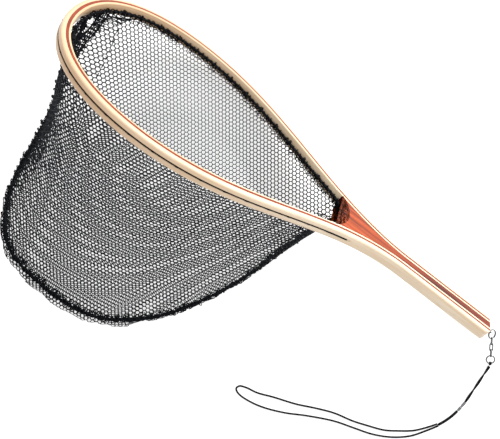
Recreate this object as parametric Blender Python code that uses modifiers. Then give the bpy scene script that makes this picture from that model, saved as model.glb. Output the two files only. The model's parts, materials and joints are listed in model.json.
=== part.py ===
"""A hand landing net: a hoop and handle of laminated wood, a netting bag laced to the hoop, and a lanyard
on a short chain. It lies on a surface as such a net is laid down: the hoop leans over its bag, on its far
rim and on the end of its handle, the bag's far panel lies flat, and the lanyard lies beside it.

Metres, +Z up. The frame is modelled in its own plane (u along the handle from the tip, v across it, w up
out of the hoop, 0 at its upper face) and then leaned over by an empty. The rest is placed where that
leaning frame is.
"""

import math

import bmesh
import bpy
import numpy as np
from mathutils import Matrix, Vector
from mathutils.geometry import interpolate_bezier

# The frame's outline, on the middle of the red veneer
FRAME_LENGTH = 0.600
WIDEST_AT = 0.135
HOOP_HALF_WIDTH = 0.122
HANDLE_FROM = 0.470
HANDLE_HALF_WIDTH = 0.0098
TIP_FULLNESS = 0.62  # how far the round tip's handles reach, as shares of the quarter it spans
SHOULDER_HANDLE = 0.130
NECK_HANDLE = 0.121

# The laminations
RIM_HEIGHT = 0.015
VENEER = 0.0028
OUTER_WOOD = 0.0053
INNER_WOOD = 0.0026
GLUE_LINE = 0.0003
OUTER_ROUND = 0.0024
INNER_ROUND = 0.0011
HANDLE_CORNER = 0.008
THROAT_AT = 0.379
THROAT_RADIUS = 0.041

# The lacing: a cord in a groove, pulled through a hole at each stitch and round the hem rope
LACE_RADIUS = 0.0009
LACE_CLEARANCE = 0.0003
LACE_SUNK = 0.0005
GROOVE_ENDS_AT = 0.392
LAST_STITCH_AT = 0.335
STITCH_PITCH = 0.028
HEM_ROPE_RADIUS = 0.0016
HEM_CLEARANCE = 0.0007

# The bag
BAG_REACH = 0.285
NET_THICKNESS = 0.002
PANEL_TOP_RISE = 0.0017  # the panels' upper edges, above the rim's lower face
NET_SAG = 0.010
SEAM_RADIUS = 0.0025
SEAM_CLEARANCE = 0.0003
PANEL_GAP = 0.0035

# How it lies
HOOP_LEAN = math.radians(56)

# The screw eye, chain and rings
EYE_WIRE = 0.0008
EYE_RADIUS = 0.003
EYE_STANDOFF = 0.0052
SHANK_RADIUS = 0.0013
SHANK_DEPTH = 0.012
SHANK_CLEARANCE = 0.0003
RING_RADIUS = 0.0055
RING_WIRE = 0.0007
LINK_WIRE = 0.00065
LINK_HALF_LENGTH = 0.00465
LINK_HALF_WIDTH = 0.00175
LANYARD_RING_RADIUS = 0.005
LINK_CLEARANCE = 0.0002
RING_SLOPE = math.radians(32)
CHAIN_HEADING = math.radians(-54)

# The lanyard
LOOP_CORD_RADIUS = 0.001
LEAD_RADIUS = 0.0014
FERRULE_RADIUS = 0.0017
WHIPPING_RADIUS = 0.0018
HITCH_CORD = 0.0009
ABOVE_FLOOR = 0.0001

SURFACE_STEP = 0.0145  # spacing of the stations round the hoop


# ---------------------------------------------------------------- scene and helpers


def clear_scene():
    for found in list(bpy.data.objects):
        bpy.data.objects.remove(found)
    for found in list(bpy.data.collections):
        bpy.data.collections.remove(found)


def new_collection(name):
    made = bpy.data.collections.new(name)
    bpy.context.scene.collection.children.link(made)
    return made


def principled(name, colour, roughness, metallic=0.0):
    made = bpy.data.materials.new(name)
    made.use_nodes = True
    shader = made.node_tree.nodes["Principled BSDF"]
    shader.inputs["Base Color"].default_value = (*colour, 1.0)
    shader.inputs["Roughness"].default_value = roughness
    shader.inputs["Metallic"].default_value = metallic
    made.diffuse_color = (*colour, 1.0)
    return made


def add_object(name, data, collection, material=None, parent=None):
    made = bpy.data.objects.new(name, data)
    collection.objects.link(made)
    if material:
        data.materials.clear()
        data.materials.append(material)
    made.parent = parent
    return made


def as_cutter(obj):
    obj.hide_render = True
    obj.display_type = "WIRE"
    return obj


def round_shading(mesh):
    mesh.shade_smooth()
    mesh.set_sharp_from_angle(angle=math.radians(35))


def to_mesh(obj):
    """The curve object remade as a mesh with its caps welded, in the same place."""
    bpy.context.view_layer.update()
    graph = bpy.context.evaluated_depsgraph_get()
    mesh = bpy.data.meshes.new_from_object(obj.evaluated_get(graph), depsgraph=graph)
    edit = bmesh.new()
    edit.from_mesh(mesh)
    bmesh.ops.remove_doubles(edit, verts=edit.verts, dist=1e-6)
    bmesh.ops.recalc_face_normals(edit, faces=edit.faces)
    edit.to_mesh(mesh)
    edit.free()
    name, collection, parent = obj.name, obj.users_collection[0], obj.parent
    material = obj.data.materials[0] if obj.data.materials else None
    place = obj.matrix_world.copy()
    bpy.data.objects.remove(obj)
    made = add_object(name, mesh, collection, material, parent)
    bpy.context.view_layer.update()
    made.matrix_world = place
    return made


def poly_curve(name, points, cyclic=False):
    data = bpy.data.curves.new(name, "CURVE")
    data.dimensions = "3D"
    data.twist_mode = "Z_UP"
    spline = data.splines.new("POLY")
    spline.points.add(len(points) - 1)
    for point, place in zip(spline.points, points):
        point.co = (*place, 1.0)
    spline.use_cyclic_u = cyclic
    return data


def tube(name, points, radius, collection, material=None, parent=None, cyclic=False, resolution=2):
    """A round cord or wire along the points."""
    data = poly_curve(name, points, cyclic)
    data.bevel_depth = radius
    data.bevel_resolution = resolution
    data.use_fill_caps = True
    return add_object(name, data, collection, material, parent)


def flat_outline(name, points, thickness, collection, material=None, parent=None):
    """A plate with this outline, its upper face at w = 0."""
    data = poly_curve(name, [(u, v, 0.0) for u, v in points], cyclic=True)
    data.dimensions = "2D"
    data.fill_mode = "BOTH"
    data.extrude = thickness / 2
    made = add_object(name, data, collection, material, parent)
    made.location = (0, 0, -thickness / 2)
    return to_mesh(made)


def cut(obj, cutter, name="cut", operation="DIFFERENCE"):
    modifier = obj.modifiers.new(name, "BOOLEAN")
    modifier.operation = operation
    modifier.solver = "EXACT"
    modifier.object = cutter
    return modifier


def resample(points, step=None, count=None):
    """Points at even steps along the line through the given points."""
    points = np.asarray(points, float)
    along = np.r_[0, np.cumsum(np.linalg.norm(np.diff(points, axis=0), axis=1))]
    count = count or max(2, round(along[-1] / step) + 1)
    at = np.linspace(0, along[-1], count)
    return np.stack([np.interp(at, along, column) for column in points.T], axis=1)


def smooth_through(points, steps=12):
    """A smooth curve through the points: Catmull-Rom, with its knots at the square root of the spacing."""
    points = np.asarray(points, float)
    ends = np.vstack([2 * points[0] - points[1], points, 2 * points[-1] - points[-2]])
    out = []
    for a, b, c, d in zip(ends, ends[1:], ends[2:], ends[3:]):
        k1 = np.linalg.norm(b - a) ** 0.5
        k2 = k1 + np.linalg.norm(c - b) ** 0.5
        k3 = k2 + np.linalg.norm(d - c) ** 0.5
        for t in np.linspace(k1, k2, steps, endpoint=False):
            ab = a + (b - a) * t / k1
            bc = b + (c - b) * (t - k1) / (k2 - k1)
            cd = c + (d - c) * (t - k2) / (k3 - k2)
            abc = ab + (bc - ab) * t / k2
            bcd = bc + (cd - bc) * (t - k1) / (k3 - k1)
            out.append(abc + (bcd - abc) * (t - k1) / (k2 - k1))
    return np.vstack([out, points[-1]])


# ---------------------------------------------------------------- the frame's outline


def half_outline():
    """The far half of the veneer's line, from the tip to the end of the handle."""
    tip = (0.0, 0.0), (0.0, TIP_FULLNESS * HOOP_HALF_WIDTH)
    widest = (WIDEST_AT * (1 - TIP_FULLNESS), HOOP_HALF_WIDTH), (WIDEST_AT, HOOP_HALF_WIDTH)
    shoulder = (WIDEST_AT + SHOULDER_HANDLE, HOOP_HALF_WIDTH)
    neck = (HANDLE_FROM - NECK_HANDLE, HANDLE_HALF_WIDTH), (HANDLE_FROM, HANDLE_HALF_WIDTH)
    flat = [Vector((*p, 0.0)) for p in (*tip, *widest, shoulder, *neck)]
    first = interpolate_bezier(flat[0], flat[1], flat[2], flat[3], 80)
    second = interpolate_bezier(flat[3], flat[4], flat[5], flat[6], 80)
    curved = np.array([p.to_2d() for p in first + second[1:]])
    return resample(curved, SURFACE_STEP)


def offset_line(points, outwards):
    """The open line moved sideways, away from the hoop's middle."""
    ahead = np.gradient(points, axis=0)
    ahead /= np.linalg.norm(ahead, axis=1)[:, None]
    left = np.stack([-ahead[:, 1], ahead[:, 0]], axis=1)
    return points + left * outwards


def whole_outline():
    """The near handle end, round the tip, to the far handle end: outwards is on its left."""
    half = half_outline()
    straight = resample([half[-1], (FRAME_LENGTH, HANDLE_HALF_WIDTH)], count=4)[1:]
    far = np.vstack([half, straight])
    near = (far * (1, -1))[::-1]
    return np.vstack([near[:-1], far])


def along_until(points, u_limit):
    """The stretch of the whole outline round the tip, up to this distance from the tip on both sides."""
    return points[points[:, 0] <= u_limit]


OUTWARDS = {
    "veneer": (-VENEER / 2, VENEER / 2),
    "outer": (VENEER / 2 + GLUE_LINE, VENEER / 2 + GLUE_LINE + OUTER_WOOD),
    "inner": (-VENEER / 2 - GLUE_LINE - INNER_WOOD, -VENEER / 2 - GLUE_LINE),
}
RIM_MIDDLE = -RIM_HEIGHT / 2
LACE_OFFSET = OUTWARDS["outer"][1] - LACE_SUNK
LEG_RADIUS = LACE_RADIUS * 0.85
STITCH_RADIUS = HEM_ROPE_RADIUS + HEM_CLEARANCE + LACE_RADIUS
HEM_OFFSET = OUTWARDS["inner"][0] - HEM_CLEARANCE - LACE_RADIUS - STITCH_RADIUS
HANDLE_OUTER = HANDLE_HALF_WIDTH + OUTWARDS["outer"][1]


def rim_profile(inner, outer, round_outer=0.0, round_inner=0.0, steps=2):
    """A lamination's section, as (outwards, w) points, with quarter-round corners where asked."""
    corners = (
        (outer, 0.0, -1, -1, round_outer, 90, 0),
        (outer, -RIM_HEIGHT, -1, 1, round_outer, 0, -90),
        (inner, -RIM_HEIGHT, 1, 1, round_inner, 270, 180),
        (inner, 0.0, 1, -1, round_inner, 180, 90),
    )
    points = []
    for x, w, inward_x, inward_w, radius, start, end in corners:
        centre = (x + inward_x * radius, w + inward_w * radius)
        angles = np.radians(np.linspace(start, end, steps + 1)) if radius else [0.0]
        for angle in angles:
            points.append((centre[0] + radius * math.cos(angle), centre[1] + radius * math.sin(angle)))
    return points


def lamination(name, profile, collection, material, parent, guides):
    """A wood strip with this section, swept along the whole outline."""
    section = poly_curve(name + "_section", [(-x, w, 0.0) for x, w in profile], cyclic=True)
    section.dimensions = "2D"
    guide = as_cutter(add_object(name + "_section", section, guides))
    path = [(u, v, 0.0) for u, v in whole_outline()]
    data = poly_curve(name, path)
    data.bevel_mode = "OBJECT"
    data.bevel_object = guide
    data.use_fill_caps = True
    return to_mesh(add_object(name, data, collection, material, parent))


# ---------------------------------------------------------------- how the frame leans


def evaluated_points(obj):
    """The object's points in the world, with its modifiers."""
    evaluated = obj.evaluated_get(bpy.context.evaluated_depsgraph_get())
    mesh = evaluated.to_mesh()
    points = np.array([evaluated.matrix_world @ v.co for v in mesh.vertices])
    evaluated.to_mesh_clear()
    return points


def leaning_axes(pitch):
    """The frame's own axes in the world, as the rows of a turn from (u, v, w)."""
    lean = math.sin(HOOP_LEAN), math.cos(HOOP_LEAN)
    up = Vector((-math.sin(pitch), -math.cos(pitch) * lean[0], math.cos(pitch) * lean[1]))
    along = (Vector((1, 0, 0)) - up.x * up).normalized()
    return Matrix((along, up.cross(along), up))


def frame_pose(outer):
    """The frame's matrix once it lies on the surface, on its far rim and the end of its handle."""
    points = evaluated_points(outer)
    end = points[:, 0] > HANDLE_FROM
    low, high = 0.0, 0.6
    for _ in range(30):
        pitch = (low + high) / 2
        heights = points @ np.array(leaning_axes(pitch)[2])
        if heights[~end].min() < heights[end].min():
            low = pitch
        else:
            high = pitch
    return Matrix.Translation((0, 0, -heights.min())) @ leaning_axes(pitch).to_4x4()


# ---------------------------------------------------------------- the wooden frame


def throat_angle():
    """The half angle that the throat's arc spans, and the core's side beyond it.

    The arc ends where the inner lamination's face leaves its circle for good. A throat too narrow to reach that
    face ends square instead, level with its centre.
    """
    centre_u = THROAT_AT - THROAT_RADIUS
    face = offset_line(whole_outline(), OUTWARDS["inner"][0] - GLUE_LINE)
    far = face[(face[:, 1] > 0) & (face[:, 0] > centre_u)] - (centre_u, 0.0)
    within = np.nonzero(np.hypot(far[:, 0], far[:, 1]) < THROAT_RADIUS)[0]
    if not len(within):
        return math.pi / 2, far + (centre_u, 0.0)
    last = within[-1]
    start, step = far[last], far[last + 1] - far[last]
    a, b, c = step @ step, start @ step, start @ start - THROAT_RADIUS**2
    meet = start + step * (math.sqrt(b * b - a * c) - b) / a
    return math.atan2(meet[1], meet[0]), far[last + 1 :] + (centre_u, 0.0)


def handle_core_outline():
    half_angle, side = throat_angle()
    centre_u = THROAT_AT - THROAT_RADIUS
    arc = [
        (centre_u + THROAT_RADIUS * math.cos(a), THROAT_RADIUS * math.sin(a))
        for a in np.linspace(-half_angle, half_angle, 21)
    ]
    near_side = [(u, -v) for u, v in side[::-1]]
    return arc + [tuple(p) for p in side] + near_side


def corner_cutter(side, guides, parent):
    """What is cut off the handle's end at one side, to round its corner."""
    end, edge, over = FRAME_LENGTH, HANDLE_OUTER, 0.002
    arc = [
        (
            end - HANDLE_CORNER + HANDLE_CORNER * math.sin(a),
            side * (edge - HANDLE_CORNER + HANDLE_CORNER * math.cos(a)),
        )
        for a in np.linspace(0, math.pi / 2, 7)
    ]
    outline = arc + [
        (end + over, side * (edge - HANDLE_CORNER)),
        (end + over, side * (edge + over)),
        (end - HANDLE_CORNER, side * (edge + over)),
    ]
    name = "handle_corner_" + ("far" if side > 0 else "near")
    made = flat_outline(name, outline, RIM_HEIGHT + 2 * over, guides, parent=parent)
    made.location.z += over
    return as_cutter(made)


def groove_line():
    return offset_line(along_until(whole_outline(), GROOVE_ENDS_AT), LACE_OFFSET)


def stitch_places():
    """Where the stitches are: (u, v) on the veneer's line and the outward direction there."""
    line = along_until(whole_outline(), LAST_STITCH_AT)
    places = resample(line, STITCH_PITCH)
    ahead = np.gradient(places, axis=0)
    ahead /= np.linalg.norm(ahead, axis=1)[:, None]
    return [(Vector((*p, RIM_MIDDLE)), Vector((-a[1], a[0], 0.0))) for p, a in zip(places, ahead)]


def across_rim(centre, outwards, start, end):
    """The matrix of a pin that lies across the rim, from one offset to another, and its length."""
    turn = Vector((0, 0, 1)).rotation_difference(outwards).to_matrix().to_4x4()
    return Matrix.Translation(centre + outwards * (start + end) / 2) @ turn, end - start


def pins(name, start, end, radius, sides, collection, parent):
    """One mesh of pins across the rim, one for each stitch."""
    edit = bmesh.new()
    for centre, outwards in stitch_places():
        place, length = across_rim(centre, outwards, start, end)
        bmesh.ops.create_cone(
            edit, cap_ends=True, segments=sides, radius1=radius, radius2=radius, depth=length, matrix=place
        )
    mesh = bpy.data.meshes.new(name)
    edit.to_mesh(mesh)
    edit.free()
    return add_object(name, mesh, collection, parent=parent)


def build_frame(parts, guides, leaning):
    maple = principled("pale_maple", (0.80, 0.60, 0.38), 0.35)
    inner_maple = principled("inner_maple", (0.84, 0.66, 0.44), 0.35)
    red = principled("red_veneer", (0.36, 0.08, 0.03), 0.35)
    rosewood = principled("rosewood", (0.42, 0.11, 0.03), 0.35)
    outer_shape = rim_profile(*OUTWARDS["outer"], round_outer=OUTER_ROUND)
    outer = lamination("outer_lamination", outer_shape, parts, maple, leaning, guides)
    veneer = lamination("red_veneer", rim_profile(*OUTWARDS["veneer"]), parts, red, leaning, guides)
    inner_shape = rim_profile(*OUTWARDS["inner"], round_inner=INNER_ROUND)
    inner = lamination("inner_lamination", inner_shape, parts, inner_maple, leaning, guides)
    core = flat_outline("handle_core", handle_core_outline(), RIM_HEIGHT, parts, rosewood, leaning)

    groove_path = [(u, v, RIM_MIDDLE) for u, v in groove_line()]
    groove_radius = LACE_RADIUS + LACE_CLEARANCE
    groove = as_cutter(to_mesh(tube("lace_groove", groove_path, groove_radius, guides, parent=leaning)))
    hole_radius = LEG_RADIUS + LACE_CLEARANCE
    inside = OUTWARDS["inner"][0] - 0.002
    holes = as_cutter(pins("lace_holes", inside, LACE_OFFSET, hole_radius, 6, guides, leaning))
    corners = [corner_cutter(side, guides, leaning) for side in (-1, 1)]
    for strip in (outer, veneer):
        for corner in corners:
            cut(strip, corner, corner.name)
    cut(groove, holes, "lace_holes", "UNION")
    cut(outer, groove, "groove_and_holes")
    for strip in (veneer, inner):
        cut(strip, holes, "lace_holes")

    shank = bmesh.new()
    bmesh.ops.create_cone(
        shank,
        cap_ends=True,
        segments=12,
        radius1=SHANK_RADIUS + SHANK_CLEARANCE,
        radius2=SHANK_RADIUS + SHANK_CLEARANCE,
        depth=2 * (SHANK_DEPTH + SHANK_CLEARANCE),
        matrix=Matrix.Translation((FRAME_LENGTH, 0, RIM_MIDDLE)) @ Matrix.Rotation(math.pi / 2, 4, "Y"),
    )
    hole_mesh = bpy.data.meshes.new("shank_hole")
    shank.to_mesh(hole_mesh)
    shank.free()
    hole = as_cutter(add_object("shank_hole", hole_mesh, guides, parent=leaning))
    cut(core, hole, "shank_hole")
    for strip in (outer, veneer, inner, core):
        round_shading(strip.data)
    return outer


# ---------------------------------------------------------------- the lacing and the hem rope


def hem_line():
    """The hem rope's line round the inside of hoop and throat, in (u, v), from the tip by the far side.

    Where the horns end square, the line turns round their corners at the same distance from the wood.
    """
    side = offset_line(whole_outline(), HEM_OFFSET)
    centre_u = THROAT_AT - THROAT_RADIUS
    away = OUTWARDS["inner"][0] - HEM_OFFSET
    radius = THROAT_RADIUS - away
    half_angle = throat_angle()[0]
    square = half_angle >= math.pi / 2
    turn_at = centre_u - (1.3 * away if square else 0.25 * radius)
    far = side[(side[:, 1] > 1e-4) & (side[:, 0] < turn_at)]
    tip = side[np.argmin(np.abs(side[:, 1]) + (side[:, 0] > turn_at))]
    corner = [
        (centre_u - away * math.sin(a), min(THROAT_RADIUS - away * math.cos(a), far[-1, 1]))
        for a in np.linspace(math.pi / 2, 0, 3)
    ]
    start = math.radians(75 if square else 62)
    arc = [(centre_u + radius * math.cos(a), radius * math.sin(a)) for a in np.linspace(start, 0, 6)]
    return np.vstack([tip, far, corner, arc] if square else [tip, far, arc])


def build_lacing(parts, guides, leaning):
    black = principled("black_cord", (0.012, 0.012, 0.013), 0.6)
    line = groove_line()
    for end, inward in ((0, 1), (-1, -2)):
        back = line[inward] - line[end]
        line[end] += back * LACE_CLEARANCE / np.linalg.norm(back)
    path = [(u, v, RIM_MIDDLE) for u, v in line]
    run = to_mesh(tube("lacing_cord", path, LACE_RADIUS, parts, black, leaning, resolution=1))
    inside = HEM_OFFSET + STITCH_RADIUS
    legs = pins("stitch_legs", inside, LACE_OFFSET, LEG_RADIUS, 6, guides, leaning)

    loops = bmesh.new()
    for centre, outwards in stitch_places():
        around = Matrix.Translation(centre + outwards * HEM_OFFSET)
        upright = outwards.cross(Vector((0, 0, 1))).to_track_quat("Z", "Y").to_matrix().to_4x4()
        add_ring(loops, around @ upright, STITCH_RADIUS, LACE_RADIUS, 8, 5)
    mesh = bpy.data.meshes.new("stitch_loops")
    loops.to_mesh(mesh)
    loops.free()
    rings = add_object("stitch_loops", mesh, guides, parent=leaning)
    for piece in (legs, rings):
        as_cutter(piece)
        cut(run, piece, piece.name, "UNION")

    far = hem_line()
    near = (far * (1, -1))[::-1]
    path = [(u, v, RIM_MIDDLE) for u, v in np.vstack([far, near[1:-1]])]
    tube("hem_rope", path, HEM_ROPE_RADIUS, parts, black, leaning, cyclic=True, resolution=1)


def add_ring(edit, place, radius, wire, steps, sides):
    """A torus in the given bmesh: a circle of wire spun about the ring's axis."""
    circle = bmesh.ops.create_circle(
        edit,
        cap_ends=False,
        segments=sides,
        radius=wire,
        matrix=place @ Matrix.Translation((radius, 0, 0)) @ Matrix.Rotation(math.pi / 2, 4, "X"),
    )
    edges = list({edge for vert in circle["verts"] for edge in vert.link_edges})
    axis = (place.to_3x3() @ Vector((0, 0, 1))).normalized()
    bmesh.ops.spin(
        edit,
        geom=circle["verts"] + edges,
        cent=place.translation,
        axis=axis,
        angle=2 * math.pi,
        steps=steps,
        use_merge=True,
    )
    bmesh.ops.recalc_face_normals(edit, faces=edit.faces)


# ---------------------------------------------------------------- the bag

# The seam from the tip to the throat. Along: share of the way from the tip's hem to the throat's hem. Reach:
# share of BAG_REACH, away from the hoop. Height: share of the height of the hem that it left.
SEAM_LINE = (
    (0.000, 0.000, 1.00),
    (0.024, 0.181, 0.94),
    (0.036, 0.260, 0.83),
    (0.036, 0.365, 0.63),
    (0.022, 0.489, 0.40),
    (0.012, 0.646, 0.19),
    (0.027, 0.784, 0.06),
    (0.062, 0.875, 0.00),
    (0.125, 0.950, 0.00),
    (0.199, 0.985, 0.00),
    (0.300, 1.000, 0.00),
    (0.412, 1.000, 0.00),
    (0.515, 0.972, 0.00),
    (0.611, 0.905, 0.00),
    (0.705, 0.795, 0.00),
    (0.773, 0.670, 0.00),
    (0.828, 0.540, 0.00),
    (0.872, 0.405, 0.05),
    (0.903, 0.275, 0.20),
    (0.930, 0.170, 0.40),
    (0.955, 0.090, 0.65),
    (0.976, 0.032, 0.88),
    (1.000, 0.000, 1.00),
)
SEAM_CORNERS = 8, 14  # the two points of that list between which the seam is the panels' lower edge


def hem_lower_edge(pose):
    """The panels' upper edges, as world points from the tip to the throat: (near, far)."""
    under_stitches = RIM_MIDDLE - STITCH_RADIUS - LACE_RADIUS - HEM_CLEARANCE - NET_THICKNESS / 2
    w = min(under_stitches, PANEL_TOP_RISE - RIM_HEIGHT)
    far = resample(smooth_through(hem_line()), count=60)
    sides = []
    for side in (-1, 1):
        flat = far * (1, side)
        flat[:, 1] = side * np.maximum(np.abs(flat[:, 1]), PANEL_GAP)
        sides.append(np.array([pose @ Vector((u, v, w)) for u, v in flat]))
    return sides


def seam_line(pose):
    near, far = hem_lower_edge(pose)
    tip, throat = (near[0] + far[0]) / 2, (near[-1] + far[-1]) / 2
    drop = 2 * SEAM_RADIUS
    floor = SEAM_RADIUS + ABOVE_FLOOR
    points = []
    for along, reach, height in SEAM_LINE:
        start = tip[2] if along < 0.5 else throat[2]
        x = tip[0] + (throat[0] - tip[0]) * along
        y = tip[1] + (throat[1] - tip[1]) * along - BAG_REACH * reach
        points.append((x, y, floor + (start - drop - floor) * height))
    return points


def panel_edge(curve, up_share):
    """The seam's curve moved in to where a panel meets it, up or down by this share."""
    middle = (curve[0] + curve[-1]) / 2 - np.array((0, BAG_REACH * 0.45, 0))
    ahead = np.gradient(curve, axis=0)
    across = np.stack([-ahead[:, 1], ahead[:, 0], np.zeros(len(curve))], axis=1)
    across /= np.linalg.norm(across, axis=1)[:, None]
    inwards = np.sign(((middle - curve) * across).sum(axis=1))[:, None] * across
    away = SEAM_RADIUS + SEAM_CLEARANCE + NET_THICKNESS * 0.8
    lift = up_share[:, None] * np.array((0, 0, 1.0))
    direction = inwards * np.sqrt(1 - up_share**2)[:, None] + lift
    return curve + direction * away


def coons_patch(top, bottom, left, right, a, b):
    """The point of the surface that fills four edges, at shares a along and b down."""

    def at(curve, share):
        place = share * (len(curve) - 1)
        i = min(int(place), len(curve) - 2)
        return curve[i] + (curve[i + 1] - curve[i]) * (place - i)

    ruled = (1 - b) * at(top, a) + b * at(bottom, a) + (1 - a) * at(left, b) + a * at(right, b)
    corners = (1 - a) * (1 - b) * top[0] + a * (1 - b) * top[-1] + (1 - a) * b * bottom[0] + a * b * bottom[-1]
    return ruled - corners


def build_panel(name, top, seam, corners, sag, parts, material, parent, across=22, down=13):
    """A netting panel: a grid drawn over its four edges, then thickened."""
    first, last = corners
    left, bottom, right = seam[: first + 1], seam[first : last + 1], seam[last:][::-1]
    edges = [resample(edge, count=60) for edge in (top, bottom, left, right)]
    edit = bmesh.new()
    bmesh.ops.create_grid(edit, x_segments=across, y_segments=down, size=0.5)
    floor = NET_THICKNESS / 2 + ABOVE_FLOOR
    for vert in edit.verts:
        a, b = vert.co.x + 0.5, 0.5 - vert.co.y
        point = coons_patch(*edges, a, b)
        point[2] -= sag * math.sin(math.pi * a) * math.sin(math.pi * b)
        point[2] = max(point[2], floor)
        vert.co = point
    bmesh.ops.recalc_face_normals(edit, faces=edit.faces)
    mesh = bpy.data.meshes.new(name)
    edit.to_mesh(mesh)
    edit.free()
    mesh.shade_smooth()
    made = add_object(name, mesh, parts, material, parent)
    skin = made.modifiers.new("thickness", "SOLIDIFY")
    skin.thickness = NET_THICKNESS
    skin.offset = 0.0
    skin.use_even_offset = False
    return made


def build_bag(parts, pose, parent):
    netting = principled("black_netting", (0.015, 0.017, 0.020), 0.7)
    binding = principled("black_seam", (0.010, 0.010, 0.012), 0.8)
    points = seam_line(pose)
    steps = 8
    curve = smooth_through(points, steps)
    curve[:, 2] = np.maximum(curve[:, 2], SEAM_RADIUS + ABOVE_FLOOR)
    corners = [place * steps for place in SEAM_CORNERS]
    path = resample(curve, 0.0115)
    tube("seam_binding", path, SEAM_RADIUS, parts, binding, parent)
    near_top, far_top = hem_lower_edge(pose)
    height = curve[:, 2] - curve[:, 2].min()
    raised = np.clip(height / 0.03, 0, 1)
    up = np.full(len(curve), 0.64)
    down = -0.64 * raised
    build_panel("near_net_panel", near_top, panel_edge(curve, up), corners, NET_SAG, parts, netting, parent)
    build_panel("far_net_panel", far_top, panel_edge(curve, down), corners, NET_SAG, parts, netting, parent)


# ---------------------------------------------------------------- the screw eye, rings and chain


def heading(angle, slope):
    """A direction that points this way over the surface and slopes down."""
    return Vector((math.cos(angle) * math.cos(slope), math.sin(angle) * math.cos(slope), -math.sin(slope)))


def axes_matrix(origin, x_axis, z_axis):
    """A matrix with its origin here, X along one direction and Z square to it, nearest the other."""
    x = x_axis.normalized()
    y = z_axis.cross(x).normalized()
    z = x.cross(y)
    return Matrix.Translation(origin) @ Matrix((x, y, z)).transposed().to_4x4()


def torus(name, radius, wire, place, pivot, parts, material, parent, steps=24, sides=8):
    """A round ring whose object origin is the pivot that it turns about."""
    bpy.ops.mesh.primitive_torus_add(
        major_segments=steps, minor_segments=sides, major_radius=radius, minor_radius=wire
    )
    made = bpy.context.active_object
    made.name = name
    for held in list(made.users_collection):
        held.objects.unlink(made)
    parts.objects.link(made)
    made.data.transform(Matrix.Translation(-pivot) @ place)
    made.location = pivot
    made.data.materials.append(material)
    made.parent = parent
    round_shading(made.data)
    return made


def chain_link(name, place, pivot, parts, material, parent):
    """An oval link of wire, long along X, flat in XY."""
    straight = LINK_HALF_LENGTH - LINK_HALF_WIDTH
    ends = []
    for side in (1, -1):
        for angle in np.linspace(-math.pi / 2, math.pi / 2, 7):
            along = straight + LINK_HALF_WIDTH * math.cos(angle)
            ends.append(Vector((side * along, side * LINK_HALF_WIDTH * math.sin(angle), 0.0)))
    points = [place @ p - pivot for p in ends]
    made = tube(name, points, LINK_WIRE, parts, material, parent, cyclic=True, resolution=2)
    made.location = pivot
    return made


def build_screw_eye(parts, guides, leaning, pose):
    nickel = principled("nickel", (0.55, 0.56, 0.57), 0.25, 1.0)
    centre = Vector((FRAME_LENGTH + EYE_STANDOFF, 0, RIM_MIDDLE))
    shank = bmesh.new()
    start = FRAME_LENGTH - SHANK_DEPTH
    end = FRAME_LENGTH + EYE_STANDOFF - EYE_RADIUS + EYE_WIRE * 0.4
    bmesh.ops.create_cone(
        shank,
        cap_ends=True,
        segments=12,
        radius1=SHANK_RADIUS * 0.6,
        radius2=SHANK_RADIUS,
        depth=end - start,
        matrix=Matrix.Translation(((start + end) / 2, 0, RIM_MIDDLE)) @ Matrix.Rotation(math.pi / 2, 4, "Y"),
    )
    mesh = bpy.data.meshes.new("screw_eye")
    shank.to_mesh(mesh)
    shank.free()
    eye = add_object("screw_eye", mesh, parts, nickel, leaning)
    upright = pose.to_3x3().inverted() @ Vector((0, 1, 0))
    place = axes_matrix(centre, Vector((1, 0, 0)), upright)
    edit = bmesh.new()
    add_ring(edit, place, EYE_RADIUS, EYE_WIRE, 18, 8)
    ring_mesh = bpy.data.meshes.new("eye_ring")
    edit.to_mesh(ring_mesh)
    edit.free()
    ring = as_cutter(add_object("eye_ring", ring_mesh, guides, parent=leaning))
    cut(eye, ring, "eye_ring", "UNION")
    round_shading(eye.data)
    return pose @ (centre + Vector((EYE_RADIUS, 0, 0))), nickel


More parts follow.
